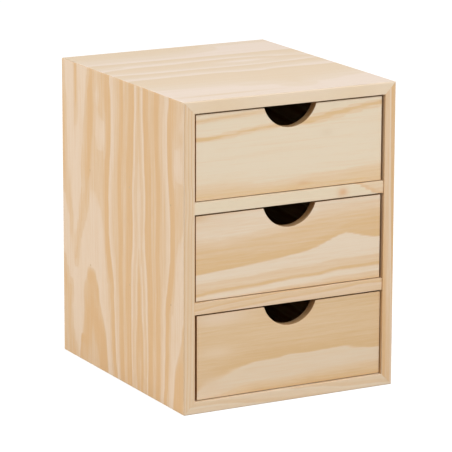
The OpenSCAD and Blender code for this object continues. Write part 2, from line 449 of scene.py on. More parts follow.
@dataclass(frozen=True)
class PlanedPine:
    """Radiata pine, planed, fine sanded and left bare.

    To the eye it is pale earlywood and golden latewood in broad bands, each band crisp on one
    side and soft on the other, with fine fibres along the grain and a dull, dry surface.

    Attributes:
        name: The board that the wood was cut for.
        figure: How the growth rings meet the board.
        earlywood: Colour of the palest wood, just inside each ring's crisp edge.
        honey: Colour of the wood between the two.
        latewood: Colour of the darkest wood, just outside each ring's crisp edge.
        patches: Places of another tone.
        streakiness: Strength of the streaks along the grain.
        seed: Picks the board's own irregularities.
        edge_shade: Colour multiplied into the board's edge faces, the ones that are not its
        broad faces: white leaves them as they are, and a darker colour is painted shade,
        for the shade that falls on a finger notch's wall and in the gaps round a front.
    """

    name: str
    figure: Figure
    earlywood: str
    honey: str
    latewood: str
    patches: tuple[Patch, ...] = ()
    streakiness: float = 1.0
    seed: float = 1.0
    edge_shade: str = "#ffffff"

    def material(self) -> bpy.types.Material:
        """Makes the board's material.

        Returns:
            The material, named for the board.
        """
        made = bpy.data.materials.new(f"planed pine, {self.name}")
        made.use_nodes = True
        tree = made.node_tree
        shader = tree.nodes["Principled BSDF"]
        fibres = self._streaks(tree, width=0.9, length=14.0)
        share = self._latewood_share(tree, fibres)
        wood = add_node(tree, "ValToRGB", None, share)
        tones = ((0.0, self.earlywood), (0.5, self.honey), (1.0, self.latewood))
        set_stops(wood, [(position, linear(tone)) for position, tone in tones])
        for patch in self.patches:
            wood = self._patched(tree, patch, wood)
        wood = self._cut_faces(tree, wood)
        rough = add_node(tree, "MapRange", None, share, 0.0, 1.0, 0.68, 0.56)
        relief = add_node(tree, "Bump", None, Strength=0.3, Distance=0.06 * MM, Height=fibres)
        plug(tree, shader, Base_Color=wood, Roughness=rough, Normal=relief)
        shader.inputs["IOR"].default_value = 1.45
        return made

    def _streaks(self, tree: bpy.types.NodeTree, width: float, length: float) -> bpy.types.Node:
        """Adds streaks along the grain.

        Args:
            tree: The material's node tree.
            width: Width of a streak, in mm. Single fibres, 0.03 mm wide, are finer than the
                picture can show, so they are drawn in bundles of this width.
            length: Length of a streak, in mm.

        Returns:
            The streaks, from 0 to 1 about 0.5.
        """
        point = add_node(tree, "CombineXYZ", None, *self.figure.place(tree))
        rate = (1 / length, 1 / width, 1 / width)
        point = add_node(tree, "VectorMath", {"operation": "MULTIPLY_ADD"}, point, rate, (self.seed,) * 3)
        return add_node(tree, "TexNoise", None, Vector=point, Scale=1.0, Detail=3.0, Roughness=0.65)

    def _latewood_share(self, tree: bpy.types.NodeTree, fibres: bpy.types.Node) -> bpy.types.Node:
        """Adds the nodes that say how dark a point of the wood is.

        Args:
            tree: The material's node tree.
            fibres: The fine streaks.

        Returns:
            From 0 for the palest earlywood to 1 for the darkest latewood.
        """
        ring = self.figure.ring_number(tree, self.seed)
        within = add_node(tree, "Math", {"operation": "FRACT"}, ring)
        profile = add_node(tree, "ValToRGB", None, within)
        latewood = ((0.0, 0.5), (0.05, 0.85), (0.12, 1.0), (0.25, 0.9), (0.31, 0.75), (0.37, 0.6))
        earlywood = ((0.45, 0.46), (0.8, 0.42), (0.86, 0.18), (0.91, 0.06), (0.95, 0.0))
        next_edge = ((0.97, 0.1), (1.0, 0.5))
        stops = (*latewood, *earlywood, *next_edge)
        set_stops(profile, [(position, (grey, grey, grey, 1.0)) for position, grey in stops])
        share = profile
        broad_streaks = self._streaks(tree, width=2.6, length=120.0)
        for pattern, amount in ((broad_streaks, 1.0), (fibres, 0.75)):
            centred = add_node(tree, "Math", {"operation": "SUBTRACT"}, pattern, 0.5)
            scale = amount * self.streakiness
            share = add_node(tree, "Math", {"operation": "MULTIPLY_ADD"}, centred, scale, share)
        return share

    def _patched(self, tree: bpy.types.NodeTree, patch: Patch, wood: bpy.types.Node) -> bpy.types.Node:
        """Lays one patch over the wood's colour.

        Args:
            tree: The material's node tree.
            patch: The patch.
            wood: The wood's colour so far.

        Returns:
            The colour.
        """
        along, across, _ = self.figure.place(tree)
        bell = bell_at(tree, along, across, patch)
        share = add_node(tree, "Math", {"operation": "MULTIPLY"}, bell, patch.strength)
        return add_node(tree, "Mix", {"data_type": "RGBA"}, share, wood, linear(patch.colour))

    def _cut_faces(self, tree: bpy.types.NodeTree, wood: bpy.types.Node) -> bpy.types.Node:
        """Darkens open end grain, where a face cuts across the fibres, and paints shade onto
        the edge faces, as on a finger notch's wall and in the gaps round a drawer front.

        Args:
            tree: The material's node tree.
            wood: The wood's colour so far.

        Returns:
            The colour.
        """
        normal = add_node(tree, "TexCoord").outputs["Normal"]
        parts = add_node(tree, "SeparateXYZ", None, normal).outputs
        facing = add_node(tree, "Math", {"operation": "ABSOLUTE"}, parts[self.figure.along.value])
        share = add_node(tree, "MapRange", None, facing, 0.6, 0.95, 0.0, 0.5)
        darker = {"data_type": "RGBA", "blend_type": "MULTIPLY"}
        deeper = add_node(tree, "Mix", darker, 1.0, wood, linear("#cfae86"))
        wood = add_node(tree, "Mix", {"data_type": "RGBA"}, share, wood, deeper)
        # painted shade: the faces that are not broad faces are multiplied by the edge colour, which darkens
        # a finger notch's wall and the gaps round a drawer front
        broad = add_node(tree, "Math", {"operation": "ABSOLUTE"}, parts[self.figure.depth.value])
        shaded_edge = add_node(tree, "MapRange", None, broad, 0.3, 0.7, 1.0, 0.0)
        return add_node(tree, "Mix", darker, shaded_edge, wood, linear(self.edge_shade))


@dataclass(frozen=True)
class RotaryPlywood:
    """Thin plywood, rotary-cut poplar faces, sanded.

    To the eye it is an even, warm tan with wide, faint, wandering ripples and short pores.

    Attributes:
        name: The panel that the plywood was cut for.
        grain: The axis that the face grain runs along.
        colour: Its main colour.
        ripple: Colour of the darker ripples.
        seed: Picks the panel's own irregularities.
    """

    name: str
    grain: Axis
    colour: str = "#dcc096"
    ripple: str = "#c9a473"
    seed: float = 3.0

    def material(self) -> bpy.types.Material:
        """Makes the panel's material.

        Returns:
            The material, named for the panel.
        """
        made = bpy.data.materials.new(f"rotary plywood, {self.name}")
        made.use_nodes = True
        tree = made.node_tree
        shader = tree.nodes["Principled BSDF"]
        point = add_node(tree, "TexCoord").outputs["Object"]
        waves = self._stretched_noise(tree, point, width=22.0, length=90.0, detail=2.0)
        contour = add_node(tree, "Math", {"operation": "MULTIPLY"}, waves, 9.0)
        contour = add_node(tree, "Math", {"operation": "PINGPONG"}, contour, 1.0)
        pores = self._stretched_noise(tree, point, width=0.5, length=7.0, detail=4.0)
        share = add_node(tree, "Math", {"operation": "MULTIPLY_ADD"}, pores, 0.5, -0.2)
        share = add_node(tree, "Math", {"operation": "MULTIPLY_ADD"}, contour, 0.45, share)
        wood = add_node(
            tree, "Mix", {"data_type": "RGBA"}, share, linear(self.colour), linear(self.ripple)
        )
        bump = add_node(tree, "Bump", None, Strength=0.3, Distance=0.05 * MM, Height=pores)
        plug(tree, shader, Base_Color=wood, Normal=bump)
        shader.inputs["Roughness"].default_value = 0.7
        return made

    def _stretched_noise(
        self,
        tree: bpy.types.NodeTree,
        point: bpy.types.NodeSocket,
        width: float,
        length: float,
        detail: float,
    ) -> bpy.types.Node:
        """Adds noise that is drawn out along the grain.

        Args:
            tree: The material's node tree.
            point: The place on the panel, in metres.
            width: Size of a patch across the grain, in mm.
            length: Size of a patch along the grain, in mm.
            detail: Octaves of finer noise.

        Returns:
            The noise, from 0 to 1.
        """
        rate = [1 / (width * MM)] * 3
        rate[self.grain.value] = 1 / (length * MM)
        place = add_node(tree, "VectorMath", {"operation": "MULTIPLY_ADD"}, point, rate, (self.seed,) * 3)
        return add_node(tree, "TexNoise", None, Vector=place, Scale=1.0, Detail=detail)


@dataclass(frozen=True)
class DrawnWire:
    """Mild steel wire, drawn bright and dulled by handling, as brads and panel pins are.

    To the eye a flush head, filmed with wood dust, is a small, faint brown dot in the wood.

    Attributes:
        name: The material's name.
        steel: Colour of the steel under its film of dust.
        tarnish: Colour of its duller patches.
        patch_size: Size of those patches.
    """

    name: str = "drawn steel wire"
    steel: str = "#dbbd93"
    tarnish: str = "#c8a478"
    patch_size: float = 0.6 * MM

    def material(self) -> bpy.types.Material:
        """Makes the nails' material.

        Returns:
            The material.
        """
        made = bpy.data.materials.new(self.name)
        made.use_nodes = True
        tree = made.node_tree
        shader = tree.nodes["Principled BSDF"]
        point = add_node(tree, "TexCoord").outputs["Object"]
        patches = add_node(tree, "TexNoise", None, Vector=point, Scale=1 / self.patch_size, Detail=3.0)
        share = add_node(tree, "MapRange", None, patches, 0.4, 0.6, 0.0, 1.0)
        colour = add_node(
            tree, "Mix", {"data_type": "RGBA"}, share, linear(self.steel), linear(self.tarnish)
        )
        rough = add_node(tree, "MapRange", None, patches, 0.3, 0.7, 0.35, 0.6)
        plug(tree, shader, Base_Color=colour, Roughness=rough)
        shader.inputs["Metallic"].default_value = 0.2
        return made


# ---------------------------------------------------------------- mesh helpers


def block(low: Vector, high: Vector) -> bmesh.types.BMesh:
    """Makes a box between two corners.

    Args:
        low: The lowest corner.
        high: The highest corner.

    Returns:
        The box.
    """
    bm = bmesh.new()
    size = high - low
    place = Matrix.Translation((low + high) / 2) @ Matrix.Diagonal((*size, 1.0))
    bmesh.ops.create_cube(bm, size=1.0, matrix=place)
    return bm


def ease_edges(bm: bmesh.types.BMesh, edges: Iterable[bmesh.types.BMEdge], radius: float) -> None:
    """Rounds edges as a few strokes of fine paper do.

    Args:
        bm: The mesh.
        edges: The edges to round.
        radius: How far the rounding reaches from the edge.
    """
    bmesh.ops.bevel(
        bm,
        geom=list(edges),
        offset=radius,
        offset_type="OFFSET",
        segments=ARRIS_STEPS,
        profile=0.5,
        affect="EDGES",
        clamp_overlap=True,
        material=-1,
    )


def outer_edges(bm: bmesh.types.BMesh) -> list[bmesh.types.BMEdge]:
    """Finds the edges that stick out, where two faces meet at a clear angle.

    Args:
        bm: The mesh.

    Returns:
        The edges.
    """
    convex = [e for e in bm.edges if e.is_manifold and e.is_convex]
    return [e for e in convex if e.calc_face_angle() > CORNER_ANGLE]


def weld(bm: bmesh.types.BMesh) -> None:
    """Joins the corners that lie together and drops the slivers between them.

    Args:
        bm: The mesh.
    """
    bmesh.ops.remove_doubles(bm, verts=bm.verts[:], dist=WELD_REACH)
    bmesh.ops.dissolve_degenerate(bm, dist=SLIVER, edges=bm.edges[:])


def divide(bm: bmesh.types.BMesh, point: Vector, normal: Vector) -> None:
    """Divides the faces that a plane crosses.

    Args:
        bm: The mesh.
        point: A point of the plane.
        normal: The plane's normal.
    """
    geometry = bm.verts[:] + bm.edges[:] + bm.faces[:]
    bmesh.ops.bisect_plane(bm, geom=geometry, dist=ON_PLANE, plane_co=point, plane_no=normal)


def saw(bm: bmesh.types.BMesh, point: Vector, outward: Vector) -> None:
    """Cuts a mesh by a plane, drops what lies outward and closes the cut.

    Args:
        bm: The mesh.
        point: A point of the plane.
        outward: The plane's normal, towards what is dropped.
    """
    geometry = bm.verts[:] + bm.edges[:] + bm.faces[:]
    made = bmesh.ops.bisect_plane(
        bm, geom=geometry, dist=ON_PLANE, plane_co=point, plane_no=outward, clear_outer=True
    )
    rim = [e for e in made["geom_cut"] if isinstance(e, bmesh.types.BMEdge) and e.is_boundary]
    if rim:
        bmesh.ops.holes_fill(bm, edges=rim, sides=0)


def soften(piece: bpy.types.Object) -> None:
    """Shades a piece smooth over its roundings and flat over its faces.

    Args:
        piece: The piece.
    """
    piece.data.shade_smooth()
    piece.data.set_sharp_from_angle(angle=SHARP_ANGLE)
    for face in piece.data.polygons:
        face.use_smooth = max(abs(part) for part in face.normal) < SQUARE


def place_piece(
    bm: bmesh.types.BMesh,
    name: str,
    body: str,
    material: bpy.types.Material,
    node: str,
) -> bpy.types.Object:
    """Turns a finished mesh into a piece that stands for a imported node.

    Args:
        bm: The mesh, which is used up.
        name: The piece's name.
        body: The body that it rides on.
        material: Its material.
        node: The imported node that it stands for.

    Returns:
        The piece.
    """
    bmesh.ops.remove_doubles(bm, verts=bm.verts[:], dist=SAME_PLACE)
    bmesh.ops.recalc_face_normals(bm, faces=bm.faces[:])
    mesh = bpy.data.meshes.new(name)
    bm.to_mesh(mesh)
    bm.free()
    piece = bpy.data.objects.new(name, mesh)
    bpy.context.scene.collection.objects.link(piece)
    mesh.materials.append(material)
    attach(piece, body)
    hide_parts(node)
    log.info("%s rides on %s and stands for %s", name, body, node)
    return piece


def dress_node(node: str, material: bpy.types.Material, ease: float = 0.0) -> bpy.types.Object:
    """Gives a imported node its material, and rounds its edges without touching its mesh.

    Args:
        node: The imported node's name.
        material: Its material.
        ease: How far the rounding reaches from an edge, or 0 for none.

    Returns:
        The node's object.
    """
    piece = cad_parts[node]
    piece.data.materials.clear()
    piece.data.materials.append(material)
    skin = piece.modifiers.new("one skin", "WELD")
    skin.merge_threshold = WELD_REACH
    if ease:
        rounding = piece.modifiers.new("eased edges", "BEVEL")
        rounding.width = ease
        rounding.segments = BOX_ARRIS_STEPS
        rounding.limit_method = "ANGLE"
        rounding.angle_limit = CORNER_ANGLE
        rounding.use_clamp_overlap = True
    log.info("%s keeps its packed shape", node)
    return piece


def nail_cutter(nails: str, outward: Vector) -> bpy.types.Object:
    """Copies some nails, with their heads drawn out past the board that they hold.

    No face of the copy then lies in the plane of the board's own, so it cuts cleanly.

    Args:
        nails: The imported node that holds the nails.
        outward: The way that the heads face.

    Returns:
        The copy, which is not part of the object.
    """
    bm = bmesh.new()
    bm.from_mesh(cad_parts[nails].data)
    weld(bm)
    farthest = max(v.co.dot(outward) for v in bm.verts)
    heads = [v for v in bm.verts if v.co.dot(outward) > farthest - HEAD_DEPTH]
    bmesh.ops.translate(bm, vec=outward * HEAD_LIFT, verts=heads)
    bmesh.ops.recalc_face_normals(bm, faces=bm.faces[:])
    mesh = bpy.data.meshes.new("nail_cutter")
    bm.to_mesh(mesh)
    bm.free()
    cutter = bpy.data.objects.new("nail_cutter", mesh)
    bpy.context.scene.collection.objects.link(cutter)
    return cutter


def divide_round_nails(piece: bpy.types.Object, cutter: bpy.types.Object, outward: Vector) -> None:
    """Divides a board's faces in a grid round its nails, so that each hole has a small face.

    Args:
        piece: The board.
        cutter: The nails.
        outward: The way that their heads face.
    """
    bm = bmesh.new()
    bm.from_mesh(piece.data)
    for axis in range(3):
        if outward[axis]:
            continue
        line = Vector([float(i == axis) for i in range(3)])
        places = sorted(v.co[axis] for v in cutter.data.vertices)
        pairs = list(zip([-math.inf, *places], [*places, math.inf]))
        starts = [after for before, after in pairs[:-1] if after - before > NAIL_GAP]
        ends = [before for before, after in pairs[1:] if after - before > NAIL_GAP]
        for place in (*(start - NAIL_MARGIN for start in starts), *(end + NAIL_MARGIN for end in ends)):
            divide(bm, line * place, line)
    bm.to_mesh(piece.data)
    bm.free()


def cut_nail_holes(piece: bpy.types.Object, nails: str, outward: Vector) -> None:
    """Opens a board round the heads and shanks of its nails, once and for all.

    Args:
        piece: The board.
        nails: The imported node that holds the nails.
        outward: The way that the heads face.
    """
    cutter = nail_cutter(nails, outward)
    divide_round_nails(piece, cutter, outward)
    cut = piece.modifiers.new("nail holes", "BOOLEAN")
    cut.operation = "DIFFERENCE"
    cut.solver = "EXACT"
    cut.object = cutter
    bpy.context.view_layer.update()
    graph = bpy.context.evaluated_depsgraph_get()
    whole, piece.data = piece.data, bpy.data.meshes.new_from_object(piece.evaluated_get(graph))
    piece.modifiers.remove(cut)
    bpy.data.meshes.remove(whole)
    bpy.data.meshes.remove(cutter.data)
    bm = bmesh.new()
    bm.from_mesh(piece.data)
    weld(bm)
    bmesh.ops.recalc_face_normals(bm, faces=bm.faces[:])
    bm.to_mesh(piece.data)
    bm.free()


# ---------------------------------------------------------------- the case


@dataclass
class Case:
    """The mitred case with its two dividers, back panel and nails.

    Attributes:
        outer_radius: Radius that sanding leaves on the case's outer edges.
        radius_facets: Flat strips that make up that rounding.
        inner_arris: Rounding of the edges round the drawers.
        mitre_gap: How far each board stops short of its mitre.
        rebate_play: Gap between the back panel and its rebate.
    """

    outer_radius: float = 1.0 * MM
    radius_facets: int = 4
    inner_arris: float = 0.25 * MM
    mitre_gap: float = 0.03 * MM
    rebate_play: float = 0.3 * MM

    def build(self) -> None:
        """Builds and dresses the case."""
        names = {
            Side.TOP: "top_panel",
            Side.RIGHT: "right_side",
            Side.BOTTOM: "bottom_panel",
            Side.LEFT: "left_side",
        }
        nails = {Side.RIGHT: "right_divider_brads", Side.LEFT: "left_divider_brads"}
        wire = DrawnWire().material()
        for node in ("left_divider_brads", "right_divider_brads", "back_panel_pins"):
            dress_node(node, wire)
        for side, node in names.items():
            finish = CASE_PINE[side]
            piece = place_piece(
                self._board(side), node + "_board", "case", finish.material(), node
            )
            if side in nails:
                cut_nail_holes(piece, nails[side], Vector((1 if side is Side.RIGHT else -1, 0, 0)))
            soften(piece)
        for node, finish in DIVIDER_PINE.items():
            piece = place_piece(
                self._divider(node), node + "_board", "case", finish.material(), node
            )
            soften(piece)
        self._build_back()

    def _board(self, side: Side) -> bmesh.types.BMesh:
        """Models one mitred board, rebated for the back panel.

        Args:
            side: Which board.

        Returns:
            The board in place.
        """
        low, high = CAD_BOX
        upright = side in (Side.LEFT, Side.RIGHT)
        length = (high.z - low.z) if upright else (high.x - low.x)
        face = ((high.x - low.x) if upright else (high.z - low.z)) / 2
        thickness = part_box("left_side")[1].x - low.x
        panel_low, panel_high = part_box("back_panel")
        rebate = thickness - (high.x - panel_high.x) + self.rebate_play
        bm = self._rebated_bar(length, face, thickness, panel_low.y, rebate)
        for end in (-1, 1):
            corner = Vector((end * (length / 2 - self.mitre_gap), 0, face))
            saw(bm, corner, Vector((end, 0, -1)))
        turn = Matrix.Rotation(side.value * math.pi / 2, 4, "Y")
        lift = Matrix.Translation((0, 0, (low.z + high.z) / 2))
        bmesh.ops.transform(bm, matrix=lift @ turn, verts=bm.verts[:])
        self._sand_outside(bm)
        return bm

    def _rebated_bar(
        self, length: float, face: float, thickness: float, panel_face: float, rebate: float
    ) -> bmesh.types.BMesh:
        """Models a straight board along X whose outer face looks up.

        Args:
            length: The board's length.
            face: Height of its outer face.
            thickness: Its thickness.
            panel_face: Where the back panel's inner face lies on the depth axis.
            rebate: How far the rebate reaches into the board's thickness.

        Returns:
            The board.
        """
        front, back = CAD_BOX[0].y, CAD_BOX[1].y
        inner = face - thickness
        outline = (
            (front, face),
            (back, face),
            (back, inner + rebate),
            (panel_face, inner + rebate),
            (panel_face, inner),
            (front, inner),
        )
        bm = bmesh.new()
        verts = [bm.verts.new((-length / 2, y, z)) for y, z in outline]
        end_face = bm.faces.new(verts)
        drawn = bmesh.ops.extrude_face_region(bm, geom=[end_face])
        moved = [v for v in drawn["geom"] if isinstance(v, bmesh.types.BMVert)]
        bmesh.ops.translate(bm, vec=(length, 0, 0), verts=moved)
        at_front = [e for e in bm.edges if all(abs(v.co.y - front) < SAME_PLACE for v in e.verts)]
        arris = [e for e in at_front if all(abs(v.co.z - inner) < SAME_PLACE for v in e.verts)]
        ease_edges(bm, arris, self.inner_arris)
        return bm

    def _sand_outside(self, bm: bmesh.types.BMesh) -> None:
        """Rounds the case's outer edges, all boards alike, as they are sanded once glued up.

        Args:
            bm: A board of the case, in place.
        """
        low, high = CAD_BOX
        middle, half = (low + high) / 2, (high - low) / 2
        radius = self.outer_radius
        for first, second in ((0, 1), (0, 2), (1, 2)):
            for first_way in (-1, 1):
                for second_way in (-1, 1):
                    for strip in range(self.radius_facets):
                        angle = math.pi / 2 * (strip + 0.5) / self.radius_facets
                        outward = Vector((0, 0, 0))
                        outward[first] = first_way * math.cos(angle)
                        outward[second] = second_way * math.sin(angle)
                        centre = middle.copy()
                        centre[first] += first_way * (half[first] - radius)
                        centre[second] += second_way * (half[second] - radius)
                        saw(bm, centre + outward * radius, outward)

    def _divider(self, node: str) -> bmesh.types.BMesh:
        """Models one divider with its front edges eased.

        Args:
            node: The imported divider.

        Returns:
            The divider in place.
        """
        low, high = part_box(node)
        bm = block(low, high)
        front = [e for e in bm.edges if all(abs(v.co.y - low.y) < SAME_PLACE for v in e.verts)]
        ease_edges(bm, front, self.inner_arris)
        return bm

    def _build_back(self) -> None:
        """Builds the plywood back panel in its rebate."""
        bm = block(*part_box("back_panel"))
        ease_edges(bm, outer_edges(bm), 0.5 * self.inner_arris)
        finish = RotaryPlywood("back panel", Axis.Z)
        piece = place_piece(bm, "back_panel_sheet", "case", finish.material(), "back_panel")
        cut_nail_holes(piece, "back_panel_pins", Vector((0, 1, 0)))
        soften(piece)


# ---------------------------------------------------------------- a drawer


@dataclass
class Drawer:
    """One drawer: a notched front lapped over two sides, with a back, a bottom and brads.

    Attributes:
        level: Which drawer.
        finish: The front's wood.
        notch_width: Width of the finger notch along the front's top edge.
        notch_depth: Its depth below that edge.
        notch_steps: Straight steps that make up its arc.
        arris: Rounding of the front's edges.
        box_arris: Rounding of the inner pieces' edges.
    """

    level: Level
    finish: PlanedPine
    notch_width: float = 43.0 * MM
    notch_depth: float = 15.8 * MM
    notch_steps: int = 48
    arris: float = 0.35 * MM
    box_arris: float = 0.3 * MM

    def build(self) -> None:
        """Builds and dresses the drawer."""
        body = self.level.value
        node = body + "_front"
        wood = self.finish.material()
        front = place_piece(self._front(), node + "_board", body, wood, node)
        soften(front)
        self._dress_box()
        log.info("%s is complete", body)

    def _front(self) -> bmesh.types.BMesh:
        """Models the notched front with the end laps that take the sides.

        Returns:
            The front in place.
        """
        body = self.level.value
        low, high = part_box(body + "_front")
        left_side, right_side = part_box(body + "_left_side"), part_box(body + "_right_side")
        bm = self._notched_outline(low, high)
        skin = bm.faces[:]
        self._thicken(bm, skin, left_side[0].y - low.y)
        laps = (left_side[1].x, right_side[0].x)
        for lap in laps:
            divide(bm, Vector((lap, 0, 0)), Vector((1, 0, 0)))
        behind = [f for f in bm.faces if abs(f.calc_center_median().y - left_side[0].y) < SAME_PLACE]
        rear = [f for f in behind if laps[0] < f.calc_center_median().x < laps[1]]
        self._thicken(bm, rear, high.y - left_side[0].y)
        bmesh.ops.recalc_face_normals(bm, faces=bm.faces[:])
        ease_edges(bm, outer_edges(bm), self.arris)
        return bm

    def _notched_outline(self, low: Vector, high: Vector) -> bmesh.types.BMesh:
        """Draws the front's outline, with its arc, as one upright face.

        Args:
            low: The front's lowest corner.
            high: The front's highest corner.

        Returns:
            A mesh of that face alone.
        """
        half = self.notch_width / 2
        radius = (half**2 + self.notch_depth**2) / (2 * self.notch_depth)
        middle = Vector(((low.x + high.x) / 2, low.y, high.z - self.notch_depth + radius))
        sweep = 2 * math.asin(half / radius)
        bm = bmesh.new()
        start = bm.verts.new((middle.x - half, low.y, high.z))
        arc = bmesh.ops.spin(
            bm, geom=[start], cent=middle, axis=(0, 1, 0), angle=-sweep, steps=self.notch_steps
        )
        end = next(v for v in arc["geom_last"] if isinstance(v, bmesh.types.BMVert))
        corners = [(high.x, high.z), (high.x, low.z), (low.x, low.z), (low.x, high.z)]
        chain = [end, *(bm.verts.new((x, low.y, z)) for x, z in corners), start]
        for one, other in zip(chain, chain[1:]):
            bm.edges.new((one, other))
        bmesh.ops.contextual_create(bm, geom=bm.edges[:])
        return bm

    @staticmethod
    def _thicken(bm: bmesh.types.BMesh, faces: Sequence[bmesh.types.BMFace], depth: float) -> None:
        """Draws faces out towards the back.

        Args:
            bm: The mesh.
            faces: The faces to draw out.
            depth: How far.
        """
        # with its edges in the region, a face that was part of a solid isn't left inside it
        edges = dict.fromkeys(e for f in faces for e in f.edges)
        drawn = bmesh.ops.extrude_face_region(bm, geom=[*faces, *edges])
        moved = [v for v in drawn["geom"] if isinstance(v, bmesh.types.BMVert)]
        bmesh.ops.translate(bm, vec=(0, depth, 0), verts=moved)

    def _dress_box(self) -> None:
        """Dresses the sides, back, bottom and brads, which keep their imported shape."""
        body = self.level.value
        side_wood = box_pine(self.level, Axis.Y).material()
        back_wood = box_pine(self.level, Axis.X).material()
        for part, wood in (("left_side", side_wood), ("right_side", side_wood), ("back", back_wood)):
            dress_node(f"{body}_{part}", wood, self.box_arris)
        sheet = RotaryPlywood(body.replace("_", " ") + " bottom", Axis.X, seed=len(body)).material()
        dress_node(body + "_bottom", sheet)
        dress_node(body + "_brads", DrawnWire(body.replace("_", " ") + " brad wire").material())


# ---------------------------------------------------------------- the boards' own figures


